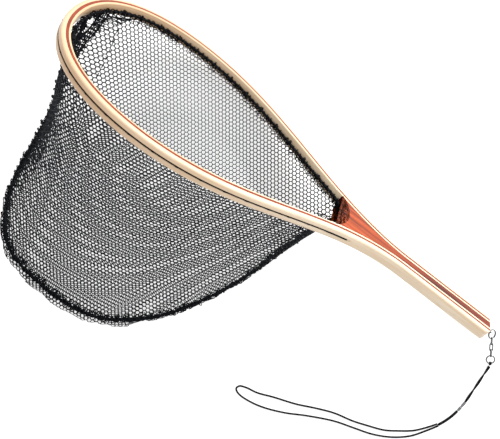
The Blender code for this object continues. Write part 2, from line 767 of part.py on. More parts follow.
def build_chain(parts, eye_wire, nickel, parent):
    """The split ring, three links and the lanyard's ring. It returns where the lanyard starts.

    At each place where two of them touch, one wire is upright there and the other is level: the piece turns
    about the upright one, and its origin is there.
    """
    start = eye_wire - Vector((EYE_WIRE + RING_WIRE + LINK_CLEARANCE, 0, 0))
    ring_way = heading(math.radians(-4), RING_SLOPE)
    link_step = 2 * (LINK_HALF_LENGTH - LINK_WIRE) - LINK_CLEARANCE
    to_far_wire = RING_RADIUS + 3 * link_step + 2 * LANYARD_RING_RADIUS - 2 * RING_WIRE - LINK_CLEARANCE
    lowest = RING_WIRE + LINK_CLEARANCE + 2 * HITCH_CORD + ABOVE_FLOOR
    drop = start.z - RING_RADIUS * math.sin(RING_SLOPE) - lowest
    chain_way = heading(CHAIN_HEADING, math.asin(drop / to_far_wire))
    flat = ring_way.cross(chain_way)
    flat = -flat if flat.z < 0 else flat
    centre = start + ring_way * RING_RADIUS
    place = axes_matrix(centre, ring_way, flat)
    torus("split_ring", RING_RADIUS, RING_WIRE, place, eye_wire, parts, nickel, parent)

    sideways = chain_way.cross(Vector((0, 0, 1))).normalized()
    level = sideways.cross(chain_way)
    far_wire = centre + chain_way * RING_RADIUS
    wire_before = RING_WIRE
    for number in (1, 2, 3):
        near_wire = far_wire - chain_way * (wire_before + LINK_WIRE + LINK_CLEARANCE)
        middle = near_wire + chain_way * LINK_HALF_LENGTH
        upright = number % 2 == 1
        place = axes_matrix(middle, chain_way, sideways if upright else level)
        pivot = near_wire if upright else far_wire
        chain_link(f"chain_link_{number}", place, pivot, parts, nickel, parent)
        far_wire = middle + chain_way * LINK_HALF_LENGTH
        wire_before = LINK_WIRE
    near_wire = far_wire - chain_way * (LINK_WIRE + RING_WIRE + LINK_CLEARANCE)
    middle = near_wire + chain_way * LANYARD_RING_RADIUS
    place = axes_matrix(middle, chain_way, level)
    torus("lanyard_ring", LANYARD_RING_RADIUS, RING_WIRE, place, far_wire, parts, nickel, parent)
    return middle + chain_way * LANYARD_RING_RADIUS, chain_way


# ---------------------------------------------------------------- the lanyard

# The lanyard's line over the surface, from the ring's far edge, in millimetres: the lead, then both strands.
LEAD_ROUTE = ((1.0, -3.4), (1.7, -10.0), (2.4, -23.7), (3.1, -41.3), (3.7, -56.3))
FERRULE_ROUTE = ((3.7, -56.7), (2.5, -69.7))
WHIPPING_ROUTE = ((2.4, -70.1), (0.3, -80.5), (-3.0, -90.5), (-6.4, -98.0))
LOOP_ROUTE = (
    (-7.7, -97.9),
    (-13.2, -106.0),
    (-25.5, -121.3),
    (-39.7, -132.7),
    (-54.8, -142.9),
    (-73.4, -150.5),
    (-91.4, -157.0),
    (-115.7, -163.2),
    (-137.8, -172.4),
    (-159.3, -182.6),
    (-187.0, -192.8),
    (-205.6, -200.4),
    (-220.5, -203.6),
    (-228.3, -207.2),
    (-229.5, -211.8),
    (-224.3, -215.0),
    (-212.0, -215.2),
    (-191.8, -211.1),
    (-164.8, -199.9),
    (-140.1, -185.9),
    (-109.9, -171.1),
    (-86.6, -163.4),
    (-63.6, -155.7),
    (-43.0, -144.6),
    (-25.4, -129.6),
    (-13.5, -112.5),
    (-5.3, -98.9),
)


def build_lanyard(parts, start, chain_way, parent):
    black = principled("black_lanyard", (0.010, 0.010, 0.011), 0.55)
    steel = principled("crimped_steel", (0.50, 0.50, 0.52), 0.3, 1.0)

    def route(points, height, first_height=None):
        placed = [(start.x + x / 1000, start.y + y / 1000, height) for x, y in points]
        if first_height:
            placed[0] = (*placed[0][:2], first_height)
            placed[1] = (*placed[1][:2], (2 * height + first_height) / 3)
        return placed

    hitch_radius = RING_WIRE + LINK_CLEARANCE + HITCH_CORD
    sideways = chain_way.cross(Vector((0, 0, 1))).normalized()
    place = axes_matrix(start, chain_way, sideways)
    torus("lanyard_hitch", hitch_radius, HITCH_CORD, place, start, parts, black, parent, 14, 8)

    lead_height = LEAD_RADIUS + ABOVE_FLOOR
    lead = smooth_through(route(LEAD_ROUTE, lead_height, start.z), 6)
    tube("lanyard_lead", resample(lead, 0.0035), LEAD_RADIUS, parts, black, parent)
    ferrule = route(FERRULE_ROUTE, FERRULE_RADIUS + ABOVE_FLOOR)
    tube("cord_ferrule", ferrule, FERRULE_RADIUS, parts, steel, parent, resolution=4)
    whipping = smooth_through(route(WHIPPING_ROUTE, WHIPPING_RADIUS + ABOVE_FLOOR), 4)
    tube("lanyard_whipping", whipping, WHIPPING_RADIUS, parts, black, parent)
    loop = smooth_through(route(LOOP_ROUTE, LOOP_CORD_RADIUS + ABOVE_FLOOR), 6)
    tube("lanyard_loop", resample(loop, count=80), LOOP_CORD_RADIUS, parts, black, parent)


# ---------------------------------------------------------------- the whole net

ON_THE_CORD = ("lanyard_hitch", "lanyard_lead", "cord_ferrule", "lanyard_whipping", "lanyard_loop")


def centre_on_origin(parts, net):
    """Moves the net so that the middle of its underside, lanyard apart, is at the origin."""
    bpy.context.view_layer.update()
    lows, highs = [], []
    for obj in parts.objects:
        if obj.type == "EMPTY" or obj.name in ON_THE_CORD:
            continue
        points = evaluated_points(obj)
        lows.append(points.min(axis=0))
        highs.append(points.max(axis=0))
    low, high = np.min(lows, axis=0), np.max(highs, axis=0)
    net.location = (-(low[0] + high[0]) / 2, -(low[1] + high[1]) / 2, -low[2])


def build():
    clear_scene()
    parts = new_collection("landing_net")
    guides = new_collection("cutters")
    net = add_object("net", None, parts)
    leaning = add_object("leaning_frame", None, parts, parent=net)
    bpy.context.view_layer.update()
    outer = build_frame(parts, guides, leaning)
    build_lacing(parts, guides, leaning)
    bpy.context.view_layer.update()
    pose = frame_pose(outer)
    leaning.matrix_local = pose
    bpy.context.view_layer.update()
    build_bag(parts, pose, net)
    chain_start, nickel = build_screw_eye(parts, guides, leaning, pose)
    lanyard_start, chain_way = build_chain(parts, chain_start, nickel, net)
    build_lanyard(parts, lanyard_start, chain_way, net)
    centre_on_origin(parts, net)


build()
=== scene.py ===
import json
import math

import bmesh
import bpy
import numpy as np
from mathutils import Matrix, Vector
from mathutils.bvhtree import BVHTree


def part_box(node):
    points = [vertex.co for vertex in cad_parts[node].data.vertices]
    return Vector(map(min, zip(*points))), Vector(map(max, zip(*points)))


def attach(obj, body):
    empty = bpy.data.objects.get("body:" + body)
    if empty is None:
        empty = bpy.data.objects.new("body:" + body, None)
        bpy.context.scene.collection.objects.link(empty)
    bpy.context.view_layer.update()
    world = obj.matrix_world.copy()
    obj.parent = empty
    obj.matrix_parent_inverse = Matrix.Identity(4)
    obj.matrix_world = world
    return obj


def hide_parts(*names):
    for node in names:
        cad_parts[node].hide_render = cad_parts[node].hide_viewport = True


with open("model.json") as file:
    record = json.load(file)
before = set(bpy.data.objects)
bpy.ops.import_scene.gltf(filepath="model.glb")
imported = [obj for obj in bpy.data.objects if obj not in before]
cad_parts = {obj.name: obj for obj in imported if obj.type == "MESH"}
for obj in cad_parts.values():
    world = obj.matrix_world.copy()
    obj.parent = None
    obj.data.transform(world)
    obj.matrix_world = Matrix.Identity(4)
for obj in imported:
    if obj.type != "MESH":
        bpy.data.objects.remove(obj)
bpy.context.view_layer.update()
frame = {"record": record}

# ---------------------------------------------------------------- the view
# The net lies on a white sheet under a wide soft light, and is looked at from almost straight above. The main
# light stands beyond the end of the handle, so that faces turned towards the tip are the darker ones.


def linear(code):
    """An sRGB hex colour as the linear numbers that a shader takes."""
    parts = [int(code[i : i + 2], 16) / 255 for i in (1, 3, 5)]
    return [c / 12.92 if c <= 0.04045 else ((c + 0.055) / 1.055) ** 2.4 for c in parts] + [1.0]


def add(tree, kind, inputs=None, **settings):
    """A node with its settings, and its inputs as values or as links from other nodes' outputs."""
    made = tree.nodes.new(kind)
    for name, value in settings.items():
        setattr(made, name, value)
    for socket, value in (inputs or {}).items():
        if isinstance(value, bpy.types.NodeSocket):
            tree.links.new(value, made.inputs[socket])
        else:
            made.inputs[socket].default_value = value
    return made


def new_material(name, **values):
    """A Principled material with these values, its node tree and its shader."""
    made = bpy.data.materials.new(name)
    made.use_nodes = True
    shader = made.node_tree.nodes["Principled BSDF"]
    for socket, value in values.items():
        shader.inputs[socket.replace("_", " ")].default_value = value
    return made, made.node_tree, shader


view = bpy.data.objects.new("view", bpy.data.cameras.new("view"))
bpy.context.scene.collection.objects.link(view)
view.data.sensor_width = 36.0
view.data.lens = 57.55
view_right = Vector((0.8003, 0.5985, -0.0361))
view_up = Vector((-0.5968, 0.8009, 0.0489))
view.matrix_world = Matrix.Translation((0.0301, 0.0262, 0.996)) @ Matrix(
    (view_right, view_up, view_right.cross(view_up))
).transposed().to_4x4()
bpy.context.scene.camera = view

# Matt white paper over a light table: even, with no shine, and lit from below so that nothing casts a hard
# shadow.
paper, paper_tree, paper_shader = new_material("backlit_white_paper", Roughness=0.9, Emission_Strength=0.72)
paper_shader.inputs["Emission Color"].default_value = linear("#FFFFFF")
fibres = add(paper_tree, "ShaderNodeTexNoise", {"Scale": 180.0, "Detail": 3.0})
paper_tint = add(
    paper_tree,
    "ShaderNodeMix",
    {0: fibres.outputs["Fac"], 6: linear("#BEBEBE"), 7: linear("#C2C2C2")},
    data_type="RGBA",
)
paper_tree.links.new(paper_tint.outputs[2], paper_shader.inputs["Base Color"])
bpy.ops.mesh.primitive_plane_add(size=24.0, location=(0, 0, -0.0004))
floor = bpy.context.active_object
floor.name = "paper_floor"
floor.data.materials.append(paper)

sky = bpy.data.worlds.new("soft_surround")
sky.use_nodes = True
sky.node_tree.nodes["Background"].inputs["Color"].default_value = linear("#FFFFFF")
sky.node_tree.nodes["Background"].inputs["Strength"].default_value = 0.66
bpy.context.scene.world = sky
bpy.context.scene.view_settings.view_transform = "Standard"

for name, place, aim, size, power in (
    ("main_light", (0.4, 2.0, 1.3), (0.0, 0.0, 0.05), 1.3, 78.0),
    ("top_light", (0.5, -0.3, 2.3), (0.0, 0.0, 0.0), 1.6, 10.0),
):
    lamp = bpy.data.objects.new(name, bpy.data.lights.new(name, "AREA"))
    bpy.context.scene.collection.objects.link(lamp)
    lamp.data.energy = power
    lamp.data.size = size
    lamp.location = place
    lamp.rotation_euler = (Vector(aim) - Vector(place)).to_track_quat("-Z", "Y").to_euler()

# ---------------------------------------------------------------- the lanyard's cord
# A loop of 2.3 mm braided nylon for the wrist, laid out on the floor. Its two ends run side by side into a
# whipping and a crimp, and go on as the doubled lead to the chain.


def smooth_through(points, step):
    """Points at about this step along a smooth curve through the given ones."""
    points = np.asarray(points, float)
    ends = np.vstack([2 * points[0] - points[1], points, 2 * points[-1] - points[-2]])
    out = []
    for a, b, c, d in zip(ends, ends[1:], ends[2:], ends[3:]):
        k1 = np.linalg.norm(b - a) ** 0.5
        k2 = k1 + np.linalg.norm(c - b) ** 0.5
        k3 = k2 + np.linalg.norm(d - c) ** 0.5
        for t in np.linspace(k1, k2, max(3, int(np.linalg.norm(c - b) / step) + 1), endpoint=False):
            ab = a + (b - a) * t / k1
            bc = b + (c - b) * (t - k1) / (k2 - k1)
            cd = c + (d - c) * (t - k2) / (k3 - k2)
            abc = ab + (bc - ab) * t / k2
            bcd = bc + (cd - bc) * (t - k1) / (k3 - k1)
            out.append(abc + (bcd - abc) * (t - k1) / (k2 - k1))
    return resample(np.vstack([out, points[-1]]), step)


def resample(points, step=None, count=None):
    """Points at even steps along the line through the given points."""
    points = np.asarray(points, float)
    along = np.r_[0, np.cumsum(np.linalg.norm(np.diff(points, axis=0), axis=1))]
    count = count or max(3, round(along[-1] / step) + 1)
    at = np.linspace(0, along[-1], count)
    return np.stack([np.interp(at, along, column) for column in points.T], axis=1)


def skin(name, rings, material, closed=False, lay=None):
    """A mesh drawn over rings of points, with round shading, and where each point is on the strip or cord."""
    rings = np.asarray(rings, float)
    count, sides = rings.shape[:2]
    faces = []
    for i in range(count if closed else count - 1):
        for j in range(sides):
            a, b = i * sides + j, i * sides + (j + 1) % sides
            c, d = ((i + 1) % count) * sides + (j + 1) % sides, ((i + 1) % count) * sides + j
            faces.append((a, b, c, d))
    if not closed:
        faces.append(tuple(range(sides))[::-1])
        faces.append(tuple(range((count - 1) * sides, count * sides)))
    mesh = bpy.data.meshes.new(name)
    mesh.from_pydata(rings.reshape(-1, 3).tolist(), [], faces)
    if lay is not None:
        mesh.attributes.new("lay", "FLOAT_VECTOR", "POINT").data.foreach_set(
            "vector", np.asarray(lay, np.float32).reshape(-1)
        )
    edit = bmesh.new()
    edit.from_mesh(mesh)
    bmesh.ops.recalc_face_normals(edit, faces=edit.faces)
    edit.to_mesh(mesh)
    edit.free()
    mesh.shade_smooth()
    mesh.set_sharp_from_angle(angle=math.radians(42))
    mesh.materials.append(material)
    made = bpy.data.objects.new(name, mesh)
    bpy.context.scene.collection.objects.link(made)
    return made


def rope(name, path, radius, material, sides=12, closed=False):
    """A round cord or wire on the path; radius is one number, or one for each point."""
    path = np.asarray(path, float)
    ahead = np.roll(path, -1, axis=0) - np.roll(path, 1, axis=0) if closed else np.gradient(path, axis=0)
    ahead /= np.linalg.norm(ahead, axis=1)[:, None]
    radius = np.broadcast_to(radius, len(path))
    side = np.cross(ahead[0], (0.1, 0.2, 1.0))
    along = np.r_[0, np.cumsum(np.linalg.norm(np.diff(path, axis=0), axis=1))]
    rings, lay = [], []
    for point, way, r, s in zip(path, ahead, radius, along):
        side = side - way * (side @ way)
        side /= np.linalg.norm(side)
        other = np.cross(way, side)
        turns = np.linspace(0, 2 * math.pi, sides, endpoint=False)
        rings.append([point + r * (side * math.cos(t) + other * math.sin(t)) for t in turns])
        lay.append([(s, 2 * math.pi * r * abs(t / math.pi - 1) * 0.5, r) for t in turns])
    return skin(name, rings, material, closed, lay)


# Braided nylon: black, with a painted faint grey sheen on the crown of each strand. The strands cross about
# every 0.7 mm; they are drawn 1.4 mm apart so that they show.
braid, tree, shader = new_material("braided_black_nylon", Roughness=0.5, Specular_IOR_Level=0.05)
lay = add(tree, "ShaderNodeAttribute", attribute_name="lay")
one_way = add(tree, "ShaderNodeMapping", {"Vector": lay.outputs["Vector"], "Rotation": (0, 0, 0.7)})
strands = add(
    tree,
    "ShaderNodeTexWave",
    {"Vector": one_way.outputs[0], "Scale": 110.0, "Distortion": 0.4},
    bands_direction="X",
)
other_way = add(tree, "ShaderNodeMapping", {"Vector": lay.outputs["Vector"], "Rotation": (0, 0, -0.7)})
crossing = add(
    tree,
    "ShaderNodeTexWave",
    {"Vector": other_way.outputs[0], "Scale": 110.0, "Distortion": 0.4},
    bands_direction="X",
)
braided = add(
    tree, "ShaderNodeMath", {0: strands.outputs["Fac"], 1: crossing.outputs["Fac"]}, operation="MAXIMUM"
)
black = add(
    tree,
    "ShaderNodeMix",
    {0: braided.outputs[0], 6: linear("#050506"), 7: linear("#17181B")},
    data_type="RGBA",
)
tree.links.new(black.outputs[2], shader.inputs["Base Color"])
bump = add(tree, "ShaderNodeBump", {"Height": braided.outputs[0], "Distance": 0.0002, "Strength": 0.8})
tree.links.new(bump.outputs[0], shader.inputs["Normal"])

hitch_low, hitch_high = (np.array(corner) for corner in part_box("lanyard_hitch"))
hitch_centre = (hitch_low + hitch_high) / 2


def over_floor(points, height):
    """A route given in millimetres from the hitch, as points at this height in metres."""
    return np.array([(hitch_centre[0] + x / 1000, hitch_centre[1] + y / 1000, height) for x, y in points])


loop_cord = 0.0023
loop_route = (
    (-7.7, -97.9),
    (-13.2, -106.0),
    (-25.5, -121.3),
    (-39.7, -132.7),
    (-54.8, -142.9),
    (-73.4, -150.5),
    (-91.4, -157.0),
    (-115.7, -163.2),
    (-137.8, -172.4),
    (-159.3, -182.6),
    (-187.0, -192.8),
    (-205.6, -200.4),
    (-220.5, -203.6),
    (-228.3, -207.2),
    (-229.5, -211.8),
    (-224.3, -215.0),
    (-212.0, -215.2),
    (-191.8, -211.1),
    (-164.8, -199.9),
    (-140.1, -185.9),
    (-109.9, -171.1),
    (-86.6, -163.4),
    (-63.6, -155.7),
    (-43.0, -144.6),
    (-25.4, -129.6),
    (-13.5, -112.5),
    (-5.3, -98.9),
)
loop_path = smooth_through(over_floor(loop_route, loop_cord / 2 + 0.0001), 0.0015)
loop = rope("wrist_loop", loop_path, loop_cord / 2, braid)
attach(loop, "lanyard_ring")
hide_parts("lanyard_loop")

lead_route = ((1.0, -3.4), (1.7, -10.0), (2.4, -23.7), (3.1, -41.3), (3.7, -56.6))
lead_line = smooth_through(over_floor(lead_route, 0.0), 0.0012)
lead_heights = np.interp(
    np.linspace(0, 1, len(lead_line)), (0, 0.06, 0.2, 1), (0.0030, 0.0027, 0.0016, 0.0016)
)
lead_line[:, 2] = lead_heights
beside = np.gradient(lead_line, axis=0)
beside = np.stack([-beside[:, 1], beside[:, 0], np.zeros(len(beside))], axis=1)
beside /= np.linalg.norm(beside, axis=1)[:, None]
lay_turn = np.linspace(0, 2.4 * math.pi, len(lead_line))[:, None]
strand_gap = 0.00078
lead_cord = 0.0019
for number, turn in enumerate((0.0, math.pi)):
    swing = beside * np.cos(lay_turn + turn) + np.array((0, 0, 0.55)) * np.sin(lay_turn + turn)
    strand = rope(f"lead_strand_{number + 1}", lead_line + swing * strand_gap, lead_cord / 2, braid, 10)
    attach(strand, "lanyard_ring")
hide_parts("lanyard_lead")

# The whipping is waxed thread wound tightly round both strands, 0.9 mm from turn to turn.
whipping_route = ((2.4, -70.1), (0.3, -80.5), (-3.0, -90.5), (-6.6, -98.6))
whipping_line = smooth_through(over_floor(whipping_route, 0.0019), 0.00022)
turns = np.arange(len(whipping_line)) * 0.00022 / 0.0009
ends = np.clip(np.minimum(turns, turns[-1] - turns) / 1.5, 0.35, 1)
whipping = rope(
    "thread_whipping", whipping_line, (
        0.00155 + 0.00022 * np.abs(np.sin(math.pi * turns))
    ) * ends**0.5, braid, 14
)
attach(whipping, "lanyard_ring")
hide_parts("lanyard_whipping")

# Nickel-plated steel, crimped: bright ridges with duller hollows where the tool has pressed.
crimped, tree, shader = new_material("crimped_nickel_steel", Metallic=1.0, Roughness=0.32)
lay = add(tree, "ShaderNodeAttribute", attribute_name="lay")
drawn = add(tree, "ShaderNodeMapping", {"Vector": lay.outputs["Vector"], "Scale": (150, 2500, 1)})
scores = add(tree, "ShaderNodeTexNoise", {"Vector": drawn.outputs[0], "Scale": 1.0, "Detail": 3.0})
plated = add(
    tree,
    "ShaderNodeMix",
    {0: scores.outputs["Fac"], 6: linear("#5B5D60"), 7: linear("#9C9EA1")},
    data_type="RGBA",
)
tree.links.new(plated.outputs[2], shader.inputs["Base Color"])
ferrule_line = resample(over_floor(((3.7, -56.7), (2.5, -69.8)), 0.0019), 0.0003)
share = np.linspace(0, 1, len(ferrule_line))
crimps = np.exp(-(((share - 0.5) / 0.09) ** 2)) * 0.00055 + 0.0002 * np.exp(
    -((np.minimum(share, 1 - share) / 0.03) ** 2)
)
ferrule = rope("crimp_ferrule", ferrule_line, 0.0017 - crimps, crimped, 20)
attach(ferrule, "lanyard_ring")
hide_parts("cord_ferrule")

# ---------------------------------------------------------------- the laminated frame
# Three strips of wood are bent together round a form and glued: pale maple outside, a thin red veneer, and a
# thin pale maple strip inside. They run from the handle's end round the hoop and back, and are varnished.

rim_height = 0.015
veneer_thickness = 0.0028
outer_thickness = 0.0053
inner_thickness = 0.0026
glue = 0.0003
frame_length = 0.600
corner_round = 0.008
handle_half = 0.0098

handle_top = frame["record"]["mounts"][0]
frame_up = Vector(handle_top["axis"])
frame_along = Vector((frame_up.z, 0, -frame_up.x)).normalized()
frame_across = frame_up.cross(frame_along)
frame_tip = Vector(handle_top["pos_m"]) - frame_along * 0.520
frame_turn = np.array((frame_along, frame_across, frame_up))


def on_frame(points):
    """Points along, across and up out of the frame, as points in the world."""
    return np.asarray(points, float) @ frame_turn + np.array(frame_tip)


def bezier(a, b, c, d, steps):
    t = np.linspace(0, 1, steps)[:, None]
    a, b, c, d = (np.array(p) for p in (a, b, c, d))
    return (1 - t) ** 3 * a + 3 * (1 - t) ** 2 * t * b + 3 * (1 - t) * t**2 * c + t**3 * d


tip_curve = bezier((0, 0), (0, 0.62 * 0.122), (0.135 * 0.38, 0.122), (0.135, 0.122), 90)
shoulder_curve = bezier((0.135, 0.122), (0.265, 0.122), (0.349, handle_half), (0.470, handle_half), 90)
curved = resample(np.vstack([tip_curve, shoulder_curve[1:]]), 0.0035)
handle_u = np.r_[np.arange(0.476, 0.591, 0.006), 0.592, np.arange(0.5930, 0.5996, 0.001), 0.5998]
far_half = np.vstack([curved, [(u, handle_half) for u in handle_u]])
veneer_line = np.vstack([(far_half * (1, -1))[::-1][:-1], far_half])
line_ahead = np.gradient(veneer_line, axis=0)
line_ahead /= np.linalg.norm(line_ahead, axis=1)[:, None]
line_outwards = np.stack([-line_ahead[:, 1], line_ahead[:, 0]], axis=1)
line_along = np.r_[0, np.cumsum(np.linalg.norm(np.diff(veneer_line, axis=0), axis=1))]

outer_from = veneer_thickness / 2 + glue
outer_to = outer_from + outer_thickness
inner_from = -veneer_thickness / 2 - glue
inner_to = inner_from - inner_thickness
handle_edge = handle_half + outer_to


def strip(name, profile_at, material):
    """A strip of wood swept along the veneer's line; profile_at gives its (outwards, up) points."""
    rings, lay = [], []
    for (u, v), outwards, along in zip(veneer_line, line_outwards, line_along):
        profile = np.array(profile_at(u))
        if u > frame_length - corner_round:
            drop = corner_round - math.sqrt(max(corner_round**2 - (u - frame_length + corner_round) ** 2, 0))
            limit = handle_edge - drop - handle_half
            profile[:, 0] = np.minimum(profile[:, 0], limit)
            profile[:, 0] += np.arange(len(profile)) * 1e-8
        flat = np.array((u, v)) + profile[:, :1] * outwards
        rings.append(on_frame(np.c_[flat, profile[:, 1]]))
        lay.append(np.c_[np.full(len(profile), along), profile])
    return skin(name, rings, material, lay=lay)


def corner(x, w, to_x, to_w, radius, start, steps=4):
    """A quarter round, from its start angle in degrees, clockwise."""
    angles = np.radians(start - np.linspace(0, 90, steps))
    return [
        (x + to_x * radius + radius * math.cos(a), w + to_w * radius + radius * math.sin(a)) for a in angles
    ]


# Hard maple under clear varnish: fine lengthwise lines a millimetre apart, a slow drift of tone along the
# strip, and small brown flecks. The varnish lies over it as a clear coat.
def maple(name, pale, dark, fleck):
    made, tree, shader = new_material(
        name, Roughness=0.45, Coat_Weight=0.3, Coat_Roughness=0.15, IOR=1.5, Specular_IOR_Level=0.25
    )
    lay = add(tree, "ShaderNodeAttribute", attribute_name="lay")
    lines_at = add(tree, "ShaderNodeMapping", {"Vector": lay.outputs["Vector"], "Scale": (9, 750, 750)})
    lines = add(tree, "ShaderNodeTexNoise", {"Vector": lines_at.outputs[0], "Scale": 1.0, "Detail": 6.0})
    drift_at = add(tree, "ShaderNodeMapping", {"Vector": lay.outputs["Vector"], "Scale": (11, 160, 160)})
    drift = add(tree, "ShaderNodeTexNoise", {"Vector": drift_at.outputs[0], "Scale": 1.0, "Detail": 3.0})
    both = add(
        tree, "ShaderNodeMath", {0: lines.outputs["Fac"], 1: drift.outputs["Fac"]}, operation="MULTIPLY_ADD"
    )
    both.inputs[2].default_value = 0.0
    tone = add(tree, "ShaderNodeMapRange", {0: both.outputs[0], 1: 0.12, 2: 0.42})
    body = add(
        tree, "ShaderNodeMix", {0: tone.outputs[0], 6: linear(dark), 7: linear(pale)}, data_type="RGBA"
    )
    flecks_at = add(tree, "ShaderNodeMapping", {"Vector": lay.outputs["Vector"], "Scale": (160, 1500, 1500)})
    flecks = add(tree, "ShaderNodeTexNoise", {"Vector": flecks_at.outputs[0], "Scale": 1.0, "Detail": 2.0})
    marks = add(tree, "ShaderNodeMapRange", {0: flecks.outputs["Fac"], 1: 0.64, 2: 0.76, 4: 0.35})
    wood = add(
        tree,
        "ShaderNodeMix",
        {0: marks.outputs[0], 6: body.outputs[2], 7: linear(fleck)},
        data_type="RGBA",
    )
    # Painted shade: the colour is darkened towards the tip of the hoop, standing in for the shade on the
    # tip's faces, which turn away from the main light.
    place = add(tree, "ShaderNodeSeparateXYZ", {0: lay.outputs["Vector"]})
    from_tip = add(
        tree, "ShaderNodeMath", {0: place.outputs[0], 1: line_along[-1] / 2, 2: 0.0}, operation="SUBTRACT"
    )
    far_from_tip = add(tree, "ShaderNodeMath", {0: from_tip.outputs[0]}, operation="ABSOLUTE")
    painted_tip_shade = add(tree, "ShaderNodeMapRange", {0: far_from_tip.outputs[0], 1: 0.10, 2: 0.42, 3: 0.55, 4: 0.0})
    tip_shaded_wood = add(
        tree,
        "ShaderNodeMix",
        {0: painted_tip_shade.outputs[0], 6: wood.outputs[2], 7: linear("#DDB68C")},
        data_type="RGBA",
        blend_type="MULTIPLY",
    )
    wood = tip_shaded_wood
    tree.links.new(wood.outputs[2], shader.inputs["Base Color"])
    grain = add(
        tree, "ShaderNodeBump", {"Height": lines.outputs["Fac"], "Distance": 0.00008, "Strength": 0.5}
    )
    tree.links.new(grain.outputs[0], shader.inputs["Normal"])
    return made


outer_maple = maple("varnished_hard_maple", "#EADAC4", "#DBC2A2", "#B48A62")
edge_round = 0.0024
groove_mid = -rim_height / 2
groove_half = 0.0012
groove_depth = 0.0017
groove_end = 0.392


def outer_profile(u):
    depth = groove_depth if u < groove_end - 0.002 else 0.0
    cut = [
        (outer_to, groove_mid + groove_half),
        (outer_to - depth * 0.65, groove_mid + groove_half * 0.9),
        (outer_to - depth, groove_mid + groove_half * 0.4),
        (outer_to - depth, groove_mid - groove_half * 0.4),
        (outer_to - depth * 0.65, groove_mid - groove_half * 0.9),
        (outer_to, groove_mid - groove_half),
    ]
    top = corner(outer_to, 0, -1, -1, edge_round, 90)
    bottom = corner(outer_to, -rim_height, -1, 1, edge_round, 0)
    return [(outer_from, 0.0), *top, *cut, *bottom, (outer_from, -rim_height)]


outer = strip("outer_maple_strip", outer_profile, outer_maple)
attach(outer, "net_frame")
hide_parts("outer_lamination")

# Padauk veneer under the same varnish: orange-red, with short dark pores along it.
padauk, tree, shader = new_material(
    "varnished_padauk_veneer",
    Roughness=0.4,
    Coat_Weight=0.1,
    Coat_Roughness=0.15,
    IOR=1.5,
    Specular_IOR_Level=0.12,
)
lay = add(tree, "ShaderNodeAttribute", attribute_name="lay")
pores_at = add(tree, "ShaderNodeMapping", {"Vector": lay.outputs["Vector"], "Scale": (45, 1600, 1600)})
pores = add(tree, "ShaderNodeTexNoise", {"Vector": pores_at.outputs[0], "Scale": 1.0, "Detail": 4.0})
red_tone = add(tree, "ShaderNodeMapRange", {0: pores.outputs["Fac"], 1: 0.35, 2: 0.65})
reds = add(
    tree,
    "ShaderNodeMix",
    {0: red_tone.outputs[0], 6: linear("#6A2410"), 7: linear("#993F1F")},
    data_type="RGBA",
)
tree.links.new(reds.outputs[2], shader.inputs["Base Color"])
veneer = strip(
    "padauk_veneer",
    lambda u: [
        (-veneer_thickness / 2 - glue / 2, 0.0),
        (veneer_thickness / 2 + glue / 2, 0.0),
        (veneer_thickness / 2 + glue / 2, -rim_height),
        (-veneer_thickness / 2 - glue / 2, -rim_height),
    ],
    padauk,
)
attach(veneer, "net_frame")
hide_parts("red_veneer")

inner_maple = maple("varnished_soft_maple", "#E9D8BF", "#DABF9C", "#B1875D")
inner_round = 0.0011
throat_join = 0.362


def inner_profile(u):
    r = inner_round if u < throat_join else 0.00002
    bottom = corner(inner_to, -rim_height, 1, 1, r, 270)
    top = corner(inner_to, 0, 1, -1, r, 180)
    return [(inner_from, 0.0), (inner_from, -rim_height), *bottom, *top]


inner = strip("inner_maple_strip", inner_profile, inner_maple)
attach(inner, "net_frame")
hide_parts("inner_lamination")

# ---------------------------------------------------------------- the handle's core
# One piece of rosewood fills the handle and tapers out between the inner strips to the throat, a smooth
# hollow that closes the hoop. It is flush with the strips above and below, and its throat edge is softened.

throat_at = 0.379
throat_radius = 0.041
throat_centre = throat_at - throat_radius

core_face = veneer_line + line_outwards * (inner_to - glue / 2)
far_face = core_face[(core_face[:, 1] > 0) & (core_face[:, 0] > throat_centre)]
# The arc ends where the strip's face leaves the throat's circle for good.
within = np.nonzero(np.hypot(far_face[:, 0] - throat_centre, far_face[:, 1]) < throat_radius)[0]
side_face = far_face[within[-1] + 1 :]
meet_angle = math.atan2(far_face[within[-1]][1], far_face[within[-1]][0] - throat_centre)
arc_angles = np.linspace(-meet_angle, meet_angle, 41)
throat_arc = np.array(
    [(throat_centre + throat_radius * math.cos(a), throat_radius * math.sin(a)) for a in arc_angles]
)
core_outline = np.vstack([throat_arc, side_face, (frame_length - 0.0002, side_face[-1][1])])
core_outline = np.vstack(
    [core_outline, (frame_length - 0.0002, -side_face[-1][1]), (side_face * (1, -1))[::-1]]
)
into_core = np.zeros_like(core_outline)
into_core[: len(throat_arc)] = np.stack([np.cos(arc_angles), np.sin(arc_angles)], axis=1)
into_core[0] = into_core[len(throat_arc) - 1] = (1.0, 0.0)

# Rosewood under varnish: orange-red heartwood with dark brown-red streaks that run along it and waver slowly.
rosewood, tree, shader = new_material(
    "varnished_rosewood",
    Roughness=0.4,
    Coat_Weight=0.1,
    Coat_Roughness=0.12,
    IOR=1.5,
    Specular_IOR_Level=0.12,
)
lay = add(tree, "ShaderNodeAttribute", attribute_name="lay")
waver_at = add(tree, "ShaderNodeMapping", {"Vector": lay.outputs["Vector"], "Scale": (14, 40, 40)})
waver = add(tree, "ShaderNodeTexNoise", {"Vector": waver_at.outputs[0], "Scale": 1.0, "Detail": 2.0})
shift = add(
    tree,
    "ShaderNodeVectorMath",
    {0: waver.outputs["Color"], 1: (0.0, 0.006, 0.006), 2: lay.outputs["Vector"]},
    operation="MULTIPLY_ADD",
)
streaks_at = add(tree, "ShaderNodeMapping", {"Vector": shift.outputs[0], "Scale": (11, 420, 420)})
streaks = add(tree, "ShaderNodeTexNoise", {"Vector": streaks_at.outputs[0], "Scale": 1.0, "Detail": 5.0})
